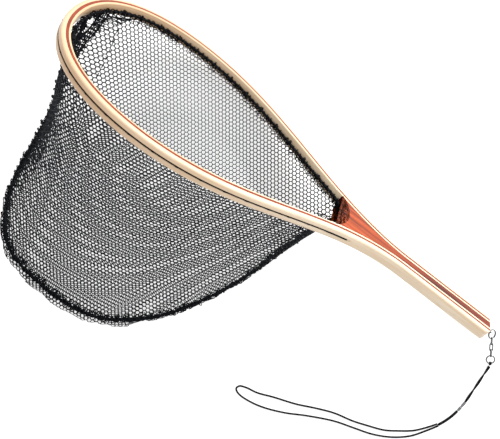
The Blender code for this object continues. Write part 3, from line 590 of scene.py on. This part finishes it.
streak_tone = add(tree, "ShaderNodeMapRange", {0: streaks.outputs["Fac"], 1: 0.36, 2: 0.6})
heartwood = add(
    tree,
    "ShaderNodeMix",
    {0: streak_tone.outputs[0], 6: linear("#7C2C0E"), 7: linear("#AC4A1C")},
    data_type="RGBA",
)
veins_at = add(tree, "ShaderNodeMapping", {"Vector": shift.outputs[0], "Scale": (6, 210, 210)})
veins = add(tree, "ShaderNodeTexNoise", {"Vector": veins_at.outputs[0], "Scale": 1.0, "Detail": 3.0})
vein_tone = add(tree, "ShaderNodeMapRange", {0: veins.outputs["Fac"], 1: 0.57, 2: 0.68, 4: 0.75})
veined = add(
    tree,
    "ShaderNodeMix",
    {0: vein_tone.outputs[0], 6: heartwood.outputs[2], 7: linear("#46140A")},
    data_type="RGBA",
)
# The tree's heart was towards the handle's end, so the wood darkens that way.
place = add(tree, "ShaderNodeSeparateXYZ", {0: lay.outputs["Vector"]})
heart = add(tree, "ShaderNodeMapRange", {0: place.outputs[0], 1: 0.40, 2: 0.50, 4: 0.8})
darkened = add(
    tree,
    "ShaderNodeMix",
    {0: heart.outputs[0], 6: veined.outputs[2], 7: linear("#A8897C")},
    data_type="RGBA",
    blend_type="MULTIPLY",
)
tree.links.new(darkened.outputs[2], shader.inputs["Base Color"])
pores_bump = add(
    tree, "ShaderNodeBump", {"Height": streaks.outputs["Fac"], "Distance": 0.0001, "Strength": 0.4}
)
tree.links.new(pores_bump.outputs[0], shader.inputs["Normal"])

core_rings, core_lay = [], []
for up_by, soften in (
    (-rim_height, 0.001), (-rim_height + 0.001, 0), (-0.0012, 0), (-0.0004, 0.0004), (0, 0.0014)
):
    outline = core_outline + into_core * soften
    core_rings.append(on_frame(np.c_[outline, np.full(len(outline), up_by)]))
    core_lay.append(np.c_[outline, np.full(len(outline), up_by)])
core = skin("rosewood_core", core_rings, rosewood, lay=core_lay)
# The throat's wall is end grain, a little darker than the face grain, and painted shade darkens it further to
# nearly black, as the wall faces the tip, away from the main light.
end_grain_and_shade, tree, shader = new_material("rosewood_end_grain_and_painted_shade", Roughness=0.5, Specular_IOR_Level=0.15)
where = add(tree, "ShaderNodeTexCoord")
pores = add(tree, "ShaderNodeTexNoise", {"Vector": where.outputs["Object"], "Scale": 1400.0, "Detail": 2.0})
throat_wall_shade_tone = add(
    tree,
    "ShaderNodeMix",
    {0: pores.outputs["Fac"], 6: linear("#1E0806"), 7: linear("#4A1710")},
    data_type="RGBA",
)
tree.links.new(throat_wall_shade_tone.outputs[2], shader.inputs["Base Color"])
core.data.materials.append(end_grain_and_shade)
for face in core.data.polygons:
    on_arc = all(v % len(core_outline) < len(throat_arc) for v in face.vertices)
    if on_arc and len(face.vertices) == 4 and min(face.vertices) < 3 * len(core_outline):
        face.material_index = 1
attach(core, "net_frame")
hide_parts("handle_core")

# ---------------------------------------------------------------- the lacing and the hem rope
# The bag hangs from a soft rope inside the hoop. A thin cord lies in the groove outside, and at every stitch
# it goes in through the rim, round the hem rope and back out. Finer thread whips the netting's edge to the
# rope.

lace_radius = 0.0007
lace_out = outer_to - 0.0007
hem_radius = 0.0016
stitch_radius = hem_radius + 0.0007 + 0.0009
hem_out = inner_to - 0.0007 - 0.0009 - stitch_radius
stitch_pitch = 0.028
last_stitch = 0.335

on_hoop = veneer_line[:, 0] <= last_stitch
stitch_spots = resample(veneer_line[on_hoop], stitch_pitch)
stitch_ahead = np.gradient(stitch_spots, axis=0)
stitch_ahead /= np.linalg.norm(stitch_ahead, axis=1)[:, None]
stitch_out = np.stack([-stitch_ahead[:, 1], stitch_ahead[:, 0]], axis=1)

in_groove = veneer_line[:, 0] <= groove_end - 0.004
groove_flat = veneer_line[in_groove] + line_outwards[in_groove] * lace_out
groove_path = resample(np.c_[groove_flat, np.full(in_groove.sum(), groove_mid)], 0.0012)
near_stitch = np.min(
    np.linalg.norm(groove_path[:, None, :2] - (stitch_spots + stitch_out * lace_out)[None], axis=2), axis=1
)
# At a stitch the cord doubles as it turns into its hole, which lifts a small knuckle out of the groove.
knuckle = np.exp(-((near_stitch / 0.0016) ** 2))
# Past the last stitch the cord's end is laid back beside itself and glued, which fills the groove.
doubled = np.clip((groove_path[:, 0] - last_stitch - 0.022) / 0.006, 0, 1)
lace_swell = lace_radius * (1 + 0.9 * knuckle + 0.7 * doubled)
lace = rope("groove_lace", on_frame(groove_path), lace_swell, braid, 10)
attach(lace, "net_frame")
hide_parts("lacing_cord")

for number, (spot, outwards) in enumerate(zip(stitch_spots, stitch_out)):
    ring = []
    for turn in np.linspace(0, 2 * math.pi, 18, endpoint=False):
        out = hem_out + stitch_radius * math.cos(turn)
        sideways = 0.0010 * math.sin(turn * 0.5)
        flat = spot + outwards * out + np.array((-outwards[1], outwards[0])) * sideways
        ring.append((*flat, groove_mid + stitch_radius * math.sin(turn)))
    stitch = rope(f"lace_stitch_{number + 1:02d}", on_frame(ring), 0.00085, braid, 8, closed=True)
    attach(stitch, "net_frame")

# The hem rope's line: inside the hoop, and round the throat.
side_line = veneer_line + line_outwards * hem_out
hem_throat = throat_radius - (inner_to - hem_out)
turn_at = throat_centre - 0.25 * hem_throat
far_side = side_line[(side_line[:, 1] > 1e-4) & (side_line[:, 0] < turn_at)]
tip_point = side_line[np.argmin(np.abs(side_line[:, 1]) + (side_line[:, 0] > turn_at))]
hem_angles = np.linspace(math.radians(62), 0, 9)
hem_arc = [(throat_centre + hem_throat * math.cos(a), hem_throat * math.sin(a)) for a in hem_angles]
hem_half = smooth_through(np.vstack([tip_point, far_side[::4], hem_arc]), 0.003)
hem_whole = np.vstack([hem_half, (hem_half * (1, -1))[::-1][1:-1]])

# Twisted nylon, its strands about 3 mm from crown to crown, with a fuzz that dulls it.
twisted, tree, shader = new_material("twisted_black_nylon", Roughness=0.72, Specular_IOR_Level=0.05)
lay = add(tree, "ShaderNodeAttribute", attribute_name="lay")
lean_at = add(tree, "ShaderNodeMapping", {"Vector": lay.outputs["Vector"], "Rotation": (0, 0, 0.5)})
plies = add(
    tree, "ShaderNodeTexWave", {"Vector": lean_at.outputs[0], "Scale": 50.0, "Distortion": 1.5, "Detail": 2.0}
)
# Painted sheen: the black turns lighter grey on the crown of each ply, where the bump also rises.
black_with_ply_sheen = add(
    tree,
    "ShaderNodeMix",
    {0: plies.outputs["Fac"], 6: linear("#060607"), 7: linear("#1B1C20")},
    data_type="RGBA",
)
tree.links.new(black_with_ply_sheen.outputs[2], shader.inputs["Base Color"])
ply_bump = add(tree, "ShaderNodeBump", {"Height": plies.outputs["Fac"], "Distance": 0.0004, "Strength": 0.8})
tree.links.new(ply_bump.outputs[0], shader.inputs["Normal"])
hem = rope(
    "hem_rope_twist", on_frame(
        np.c_[hem_whole, np.full(len(hem_whole), groove_mid)]
    ), hem_radius, twisted, 12, True
)
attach(hem, "net_frame")
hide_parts("hem_rope")

# ---------------------------------------------------------------- the netting bag
# Two panels of knotless nylon netting with six-sided holes are joined by one bulky seam that starts at the
# tip, goes round the bottom and ends at the throat. The bag hangs from the hem rope and lies on the floor.

bag_reach = 0.285
net_floor = 0.0012
seam_radius = 0.0025
seam_points = (
    (0.000, 0.000, 1.00),
    (0.024, 0.181, 0.94),
    (0.036, 0.260, 0.83),
    (0.036, 0.365, 0.63),
    (0.022, 0.489, 0.40),
    (0.012, 0.646, 0.19),
    (0.027, 0.784, 0.06),
    (0.062, 0.875, 0.00),
    (0.125, 0.950, 0.00),
    (0.199, 0.985, 0.00),
    (0.300, 1.000, 0.00),
    (0.412, 1.000, 0.00),
    (0.515, 0.972, 0.00),
    (0.611, 0.905, 0.00),
    (0.705, 0.795, 0.00),
    (0.773, 0.670, 0.00),
    (0.828, 0.540, 0.00),
    (0.872, 0.405, 0.05),
    (0.903, 0.275, 0.20),
    (0.930, 0.170, 0.40),
    (0.955, 0.090, 0.65),
    (0.976, 0.032, 0.88),
    (1.000, 0.000, 1.00),
)

hem_below = groove_mid - stitch_radius * 0.6
hem_edges = {}
for name, side in (("near", -1), ("far", 1)):
    flat = resample(hem_half, count=90) * (1, side)
    hem_edges[name] = on_frame(np.c_[flat, np.full(len(flat), hem_below)])
tip_hem, throat_hem = hem_edges["far"][0], hem_edges["far"][-1]
seam_at = []
for along, reach, height in seam_points:
    start = tip_hem[2] if along < 0.5 else throat_hem[2]
    seam_at.append(
        (
            tip_hem[0] + (throat_hem[0] - tip_hem[0]) * along,
            tip_hem[1] + (throat_hem[1] - tip_hem[1]) * along - bag_reach * reach,
            seam_radius + (start - 3 * seam_radius) * height,
        )
    )
seam_curve = smooth_through(seam_at, 0.002)
seam_curve[:, 2] = np.maximum(seam_curve[:, 2], seam_radius)
seam_along = np.r_[0, np.cumsum(np.linalg.norm(np.diff(seam_curve, axis=0), axis=1))]
corner_spots = [int(np.argmin(np.linalg.norm(seam_curve - np.array(seam_at[i]), axis=1))) for i in (8, 14)]


def fill_between(top, left, bottom, right, across=90, down=70):
    """Points of the surface that fills four edges: rows from the top edge down."""
    top, bottom = resample(top, count=across), resample(bottom, count=across)
    left, right = resample(left, count=down), resample(right, count=down)
    a = np.linspace(0, 1, across)[None, :, None]
    b = np.linspace(0, 1, down)[:, None, None]
    ruled = (1 - b) * top[None] + b * bottom[None] + (1 - a) * left[:, None] + a * right[:, None]
    above = (1 - a) * (1 - b) * top[0] + a * (1 - b) * top[-1]
    corners = above + (1 - a) * b * bottom[0] + a * b * bottom[-1]
    surface = ruled - corners
    surface[:, :, 2] -= 0.010 * (np.sin(math.pi * a) * np.sin(math.pi * b))[:, :, 0]
    return surface


def cells_over(inside, low, high, pitch, turn):
    """Six-sided cells that tile the plane, as rings of (x, y); inside picks the ones kept."""
    reach = math.hypot(high[0] - low[0], high[1] - low[1]) / 2 + pitch
    middle = (np.array(low) + np.array(high)) / 2
    wide, tall = pitch, pitch * math.sqrt(3) / 2
    cells = []
    for row in range(int(-reach / tall), int(reach / tall) + 1):
        for column in range(int(-reach / wide), int(reach / wide) + 1):
            x, y = (column + 0.5 * (row % 2)) * wide, row * tall
            spot = middle + (x * math.cos(turn) - y * math.sin(turn), x * math.sin(turn) + y * math.cos(turn))
            if inside(spot):
                corners = []
                for k in range(6):
                    angle = math.radians(60 * k + 30) + turn
                    size = pitch / math.sqrt(3)
                    corners.append((spot[0] + size * math.cos(angle), spot[1] + size * math.sin(angle)))
                cells.append(corners)
    return cells


def netting(name, cells, place, thread, material):
    """Netting made of these cells: each corner goes in its place, and a square thread is left round it."""
    edit = bmesh.new()
    corners = {}
    for cell in cells:
        ring = []
        for x, y in cell:
            key = (round(x * 20000), round(y * 20000))
            if key not in corners:
                corners[key] = edit.verts.new(place(x, y))
            ring.append(corners[key])
        if len(set(ring)) == 6:
            edit.faces.new(ring)
    edit.normal_update()
    holes = edit.faces[:]
    bmesh.ops.inset_individual(edit, faces=holes, thickness=thread / 2, use_even_offset=False)
    bmesh.ops.delete(edit, geom=holes, context="FACES_ONLY")
    mesh = bpy.data.meshes.new(name)
    edit.to_mesh(mesh)
    edit.free()
    mesh.materials.append(material)
    made = bpy.data.objects.new(name, mesh)
    bpy.context.scene.collection.objects.link(made)
    body = made.modifiers.new("thread", "SOLIDIFY")
    body.thickness = thread * 1.25
    body.offset = 0
    return made


def inside_outline(outline):
    """A test of whether a point is inside this closed outline."""
    xs, ys = outline[:, 0], outline[:, 1]
    next_x, next_y = np.roll(xs, -1), np.roll(ys, -1)

    def test(spot):
        crosses = (ys > spot[1]) != (next_y > spot[1])
        with np.errstate(divide="ignore", invalid="ignore"):
            at = xs + (spot[1] - ys) * (next_x - xs) / (next_y - ys)
        return bool(np.count_nonzero(crosses & (spot[0] < at)) % 2)

    return test


# Knotless nylon netting: near-black multifilament, each leg of a cell two twisted plies, so it is fuzzy and
# dull.
# Its lighter bluish-grey specks, where the bump also rises, are painted bluish sheen.
net_nylon, tree, shader = new_material("knotless_black_netting", Roughness=0.6, Specular_IOR_Level=0.08)
where = add(tree, "ShaderNodeTexCoord")
plies = add(tree, "ShaderNodeTexNoise", {"Vector": where.outputs["Object"], "Scale": 900.0, "Detail": 2.0})
net_black_and_sheen = add(
    tree,
    "ShaderNodeMix",
    {0: plies.outputs["Fac"], 6: linear("#08090B"), 7: linear("#1D2127")},
    data_type="RGBA",
)
tree.links.new(net_black_and_sheen.outputs[2], shader.inputs["Base Color"])
net_bump = add(tree, "ShaderNodeBump", {"Height": plies.outputs["Fac"], "Distance": 0.0002, "Strength": 0.6})
tree.links.new(net_bump.outputs[0], shader.inputs["Normal"])

seam_side = np.gradient(seam_curve, axis=0)
seam_side = np.stack([-seam_side[:, 1], seam_side[:, 0], np.zeros(len(seam_side))], axis=1)
seam_side /= np.linalg.norm(seam_side, axis=1)[:, None]
bag_middle = (tip_hem + throat_hem) / 2 - np.array((0, bag_reach * 0.45, 0))
inwards = seam_side * np.sign(((bag_middle - seam_curve) * seam_side).sum(axis=1))[:, None]
# The panels reach past the seam round the bottom, as a fringe that narrows at a pucker and towards the
# throat.
fringe = np.interp(
    seam_along, (0.0, 0.16, 0.30, 0.38, 0.51, 0.530, 0.545, 0.70, 0.80), (0, 0, 5, 9, 8, 1, 3, 2, 0)
) / 1000
fringe = fringe + 0.0009 * np.sin(seam_along * 2 * math.pi / 0.041) * np.clip(fringe / 0.004, 0, 1)
mesh_pitch = 0.0050
first_corner, last_corner = corner_spots
panels, surfaces = {}, {}
for name, rise, turn, net_thread in (
    ("near", 0.0024, math.radians(-8), 0.00086),
    ("far", 0.0, math.radians(33), 0.00108),
):
    edge = seam_curve - inwards * fringe[:, None]
    edge[:, 2] = np.maximum(edge[:, 2] - seam_radius + rise + net_floor, net_floor + rise)
    surface = fill_between(
        hem_edges[name], edge[: first_corner + 1], edge[
            first_corner : last_corner + 1
        ], edge[last_corner:][::-1]
    )
    surface[:, :, 2] = np.maximum(surface[:, :, 2], net_floor + rise)
    surfaces[name] = surface
    # The panel is laid flat on the plane it lies nearest to, tiled there, and put back.
    outline = np.vstack([surface[0], surface[1:, -1], surface[-1][::-1][1:], surface[1:-1, 0][::-1]])
    middle = surface.reshape(-1, 3).mean(axis=0)
    _, _, axes = np.linalg.svd(surface.reshape(-1, 3)[::7] - middle)
    axes[2] *= np.sign(axes[2][2])
    axes[0] *= np.sign(axes[0][0])
    axes[1] = np.cross(axes[2], axes[0])
    rows, columns = surface.shape[:2]
    quads = [
        (i * columns + j, i * columns + j + 1, (i + 1) * columns + j + 1, (i + 1) * columns + j)
        for i in range(rows - 1)
        for j in range(columns - 1)
    ]
    sheet_tree = BVHTree.FromPolygons([tuple(p) for p in surface.reshape(-1, 3)], quads)
    flat_outline = (outline - middle) @ axes[:2].T

    def put_back(x, y, sheet_tree=sheet_tree, middle=middle, axes=axes, floor_at=net_floor + rise):
        above = Vector(middle + axes[0] * x + axes[1] * y + axes[2] * 0.4)
        hit, _, _, _ = sheet_tree.ray_cast(above, -Vector(axes[2]))
        if hit is None:
            spot = Vector(middle + axes[0] * x + axes[1] * y)
            hit, _, _, _ = sheet_tree.find_nearest(spot)
        return (hit.x, hit.y, max(hit.z, floor_at))

    cells = cells_over(
        inside_outline(flat_outline), flat_outline.min(axis=0), flat_outline.max(axis=0), mesh_pitch, turn
    )
    panel = netting(f"{name}_netting", cells, put_back, net_thread, net_nylon)
    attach(panel, "net_frame")
    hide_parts(f"{name}_net_panel")
    panels[name] = (panel, len(cells) * mesh_pitch**2 * math.sqrt(3) / 2, flat_outline)

# ---------------------------------------------------------------- the seam
# The panels' edges are gathered and overlocked together with thick black thread. The gathers stand either
# side of the thread as a dark ruffle, and a narrow fringe of netting is left outside it.

overlock, tree, shader = new_material("overlocked_black_thread", Roughness=0.8, Specular_IOR_Level=0.05)
where = add(tree, "ShaderNodeTexCoord")
loops = add(tree, "ShaderNodeTexNoise", {"Vector": where.outputs["Object"], "Scale": 420.0, "Detail": 4.0})
thread_tone = add(
    tree,
    "ShaderNodeMix",
    {0: loops.outputs["Fac"], 6: linear("#040405"), 7: linear("#191A1E")},
    data_type="RGBA",
)
tree.links.new(thread_tone.outputs[2], shader.inputs["Base Color"])
thread_bump = add(
    tree, "ShaderNodeBump", {"Height": loops.outputs["Fac"], "Distance": 0.0006, "Strength": 1.0}
)
tree.links.new(thread_bump.outputs[0], shader.inputs["Normal"])

seam_line = seam_curve + inwards * 0.001
lumps = 0.0022 + 0.0005 * np.sin(seam_along * 2 * math.pi / 0.0063)
lumps = lumps + 0.0004 * np.sin(seam_along * 2 * math.pi / 0.017)
seam_line[:, 2] = np.maximum(seam_line[:, 2], 0.0034)
seam = rope("overlocked_seam", seam_line, lumps, overlock, 10)
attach(seam, "net_frame")
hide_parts("seam_binding")


def ruffle(name, line, side, up, outer_edge, inner_edge, pleat, depth, pitch, thread, material):
    """A gathered strip of netting along a line: pleats of this pitch and depth stand up from it."""
    along = np.r_[0, np.cumsum(np.linalg.norm(np.diff(line, axis=0), axis=1))]
    total = along[-1]
    outer_at, inner_at = np.broadcast_to(outer_edge, len(line)), np.broadcast_to(inner_edge, len(line))

    def at(values, s):
        return np.array([np.interp(s, along, column) for column in values.T])

    def inside(spot):
        s, t = spot
        wave = 0.0012 * math.sin(s * 2 * math.pi / 0.011) + 0.0008 * math.sin(s * 2 * math.pi / 0.029)
        outer, inner = np.interp(s, along, outer_at), np.interp(s, along, inner_at)
        return 0.002 < s < total - 0.002 and outer + wave < t < inner + wave

    def place(s, t):
        flattened = min(1.0, abs(t) / 0.006 + 0.35)
        lift = depth * math.sin(s * 2 * math.pi / pleat + 0.6 * math.sin(s * 90)) * flattened
        spot = at(line, s) + at(side, s) * t + at(up, s) * lift
        return (spot[0], spot[1], max(spot[2], 0.0011))

    edges = ((0, outer_at.min() - 0.003), (total, inner_at.max() + 0.003))
    return netting(name, cells_over(inside, *edges, pitch, math.radians(17)), place, thread, material)


upwards = np.tile((0, 0, 1.0), (len(seam_curve), 1))
ruffle_out = -np.interp(seam_along, (0, 0.03, 0.14, 0.25, 0.5, 0.8), (2.5, 4, 3, 2.5, 2, 2)) / 1000
ruffle_in = np.interp(
    seam_along, (0, 0.03, 0.14, 0.25, 0.35, 0.52, 0.60, 0.8), (3, 7, 7, 5, 6.5, 5.5, 3, 2.5)
) / 1000
seam_ruffle = ruffle(
    "seam_gathers", seam_line, inwards, upwards, ruffle_out, ruffle_in,
    pleat=0.0072, depth=0.0020, pitch=0.0030, thread=0.0012, material=net_nylon,
)
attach(seam_ruffle, "net_frame")

# Inside the tip the far panel is folded over on itself, in a pleat from the hem down to the seam. It is sewn
# along both its edges.
fold_steps = np.linspace(0, 1, 40)
fold_line = np.array(
    [surfaces["far"][int(69 * 0.20 * t), int(round(89 * (0.10 - 0.085 * t)))] for t in fold_steps]
)
fold_line = resample(smooth_through(fold_line[::6], 0.003), 0.003) + (0, 0, 0.002)
fold_ahead = np.gradient(fold_line, axis=0)
fold_side = np.cross(fold_ahead, (0, 0, 1.0))
fold_side /= np.linalg.norm(fold_side, axis=1)[:, None]
fold_up = np.cross(fold_side, fold_ahead)
fold_up /= np.linalg.norm(fold_up, axis=1)[:, None]
fold = ruffle(
    "tip_fold", fold_line, fold_side, fold_up, -0.005, 0.005,
    pleat=0.0061, depth=0.0016, pitch=0.0026, thread=0.0011, material=net_nylon,
)
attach(fold, "net_frame")
for number, offset in enumerate((-0.0042, 0.0042)):
    sewn = fold_line + fold_side * offset + fold_up * 0.0012
    stitching = rope(f"tip_fold_sewing_{number + 1}", resample(sewn, 0.0012), 0.0010, overlock, 8)
    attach(stitching, "net_frame")

# The netting's edge is gathered on to the hem rope too, and whipped to it with a turn every 6.5 mm.
hem_ring = on_frame(np.c_[hem_whole, np.full(len(hem_whole), groove_mid - 0.0012)])
hem_ring = np.vstack([hem_ring, hem_ring[:1]])
hem_out_way = np.gradient(hem_ring, axis=0)
hem_inside = np.cross(np.array(frame_up), hem_out_way)
hem_inside /= np.linalg.norm(hem_inside, axis=1)[:, None]
centre_of_hoop = on_frame([(0.17, 0.0, groove_mid)])[0]
hem_inside *= np.sign(((centre_of_hoop - hem_ring) * hem_inside).sum(axis=1))[:, None]
hang = -np.tile(np.array(frame_up), (len(hem_ring), 1))
hem_ruffle = ruffle(
    "hem_gathers", hem_ring, hang, hem_inside, -0.0015, 0.0060,
    pleat=0.0066, depth=0.0014, pitch=0.0034, thread=0.0008, material=net_nylon,
)
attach(hem_ruffle, "net_frame")

whip_step, whip_pitch, whip_path = 0.0011, 0.0065, []
hem_fine = resample(np.vstack([hem_whole, hem_whole[:1]]), whip_step)
hem_fine_ahead = np.gradient(hem_fine, axis=0)
hem_fine_ahead /= np.linalg.norm(hem_fine_ahead, axis=1)[:, None]
for i, (spot, way) in enumerate(zip(hem_fine, hem_fine_ahead)):
    turn = i * whip_step / whip_pitch * 2 * math.pi
    around = 0.0024 + 0.0006 * math.sin(i * 0.37)
    flat = spot + np.array((-way[1], way[0])) * around * math.cos(turn)
    whip_path.append((*flat, groove_mid + around * math.sin(turn)))
hem_whip = rope("hem_whipping", on_frame(whip_path[:-1]), 0.00062, overlock, 6)
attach(hem_whip, "net_frame")

for name, held in (("near", "hung"), ("far", "laid")):
    panel, area, flat_outline = panels[name]
    size = flat_outline.max(axis=0) - flat_outline.min(axis=0)

# ---------------------------------------------------------------- the screw eye, rings and chain
# A small nickel screw eye is turned into the end of the handle. A split ring hangs in it, then three twisted
# links of light chain, then the plain ring that the lanyard is hitched to.

nickel, tree, shader = new_material("polished_nickel_plate", Metallic=1.0, Roughness=0.2)
where = add(tree, "ShaderNodeTexCoord")
handling = add(tree, "ShaderNodeTexNoise", {"Vector": where.outputs["Object"], "Scale": 700.0, "Detail": 3.0})
nickel_tone = add(
    tree,
    "ShaderNodeMix",
    {0: handling.outputs["Fac"], 6: linear("#3C3E41"), 7: linear("#909295")},
    data_type="RGBA",
)
tree.links.new(nickel_tone.outputs[2], shader.inputs["Base Color"])
worn = add(tree, "ShaderNodeMapRange", {0: handling.outputs["Fac"], 3: 0.14, 4: 0.34})
tree.links.new(worn.outputs[0], shader.inputs["Roughness"])

pivots = {joint["child"]: np.array(joint["pos_m"]) for joint in frame["record"]["behaviour"]["joints"]}
eye_wire = 0.0008
eye_radius = 0.003
ring_wire = 0.0008
link_wire = 0.0008
link_half = 0.00465
link_side = 0.00175
chain_way = pivots["chain_link_2"] - pivots["chain_link_1"]
chain_way /= np.linalg.norm(chain_way)
chain_side = np.cross(chain_way, (0, 0, 1.0))
chain_side /= np.linalg.norm(chain_side)
chain_level = np.cross(chain_side, chain_way)

eye_centre = on_frame([(frame_length + 0.0052, 0, groove_mid)])[0]
eye_out = np.array(frame_along)
eye_up = np.cross((0, 1.0, 0), eye_out)
eye_turns = np.linspace(-math.pi * 0.93, math.pi * 0.97, 40)
eye_ring = [eye_centre + eye_radius * (eye_out * math.cos(t) + eye_up * math.sin(t)) for t in eye_turns]
neck = [eye_centre - eye_out * d for d in (0.0125, 0.0060, 0.0040, 0.0034)]
eye = rope("screw_eye_wire", smooth_through(neck + eye_ring, 0.0003), eye_wire, nickel, 12)
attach(eye, "net_frame")
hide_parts("screw_eye")

split_low, split_high = (np.array(c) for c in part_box("split_ring"))
split_centre = (split_low + split_high) / 2
split_radius = 0.0055
ring_turn, ring_dip = math.radians(-4), math.radians(32)
ring_way = np.array((math.cos(ring_turn), math.sin(ring_turn), 0)) * math.cos(ring_dip)
ring_way[2] = -math.sin(ring_dip)
ring_flat = np.cross(ring_way, chain_way)
ring_flat *= np.sign(ring_flat[2]) / np.linalg.norm(ring_flat)
ring_side = np.cross(ring_flat, ring_way)
coil = []
for turn in np.linspace(0, 4 * math.pi - 0.25, 120):
    # Its two coils lie on each other and change over across half a turn.
    rise = 0.00052 * math.tanh((turn - 2 * math.pi) / 0.7)
    around = ring_way * math.cos(turn + 2.2) + ring_side * math.sin(turn + 2.2)
    coil.append(split_centre + split_radius * around + ring_flat * rise)
split = rope("split_ring_coils", coil, 0.00062, nickel, 10)
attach(split, "split_ring")
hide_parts("split_ring")

link_middles = {
    1: (pivots["chain_link_1"] + pivots["chain_link_2"]) / 2,
    3: (pivots["chain_link_3"] + pivots["lanyard_ring"]) / 2,
}
link_middles[2] = (link_middles[1] + link_middles[3]) / 2
for number, middle in sorted(link_middles.items()):
    wide = chain_level if number % 2 else chain_side
    straight = link_half - link_side
    oval = []
    for end in (1, -1):
        for turn in np.linspace(-math.pi / 2, math.pi / 2, 15):
            ahead = end * (straight + link_side * math.cos(turn))
            oval.append(middle + chain_way * ahead + wide * end * link_side * math.sin(turn))
    oval.append(oval[0])
    link = rope(f"chain_link_wire_{number}", resample(oval, 0.0004)[:-1], link_wire, nickel, 12, closed=True)
    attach(link, f"chain_link_{number}")
    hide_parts(f"chain_link_{number}")

lanyard_low, lanyard_high = (np.array(c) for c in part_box("lanyard_ring"))
lanyard_centre = (lanyard_low + lanyard_high) / 2
turns = np.linspace(0, 2 * math.pi, 48, endpoint=False)
plain_ring = [lanyard_centre + 0.005 * (chain_way * math.cos(t) + chain_side * math.sin(t)) for t in turns]
lanyard_ring = rope("plain_ring_wire", plain_ring, ring_wire, nickel, 12, closed=True)
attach(lanyard_ring, "lanyard_ring")
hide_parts("lanyard_ring")

# The hitch: the lead's bight goes through the ring and both its ends come back through it, so two turns show.
for number, offset in enumerate((-0.0008, 0.0008)):
    ring = []
    for turn in np.linspace(0, 2 * math.pi, 24, endpoint=False):
        spot = hitch_centre + 0.0016 * (chain_way * math.cos(turn) + chain_level * math.sin(turn))
        ring.append(spot + chain_side * (offset + 0.0004 * math.sin(turn)))
    hitch = rope(f"hitch_turn_{number + 1}", ring, 0.0008, braid, 10, closed=True)
    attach(hitch, "lanyard_ring")
    if number == 0:
        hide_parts("lanyard_hitch")
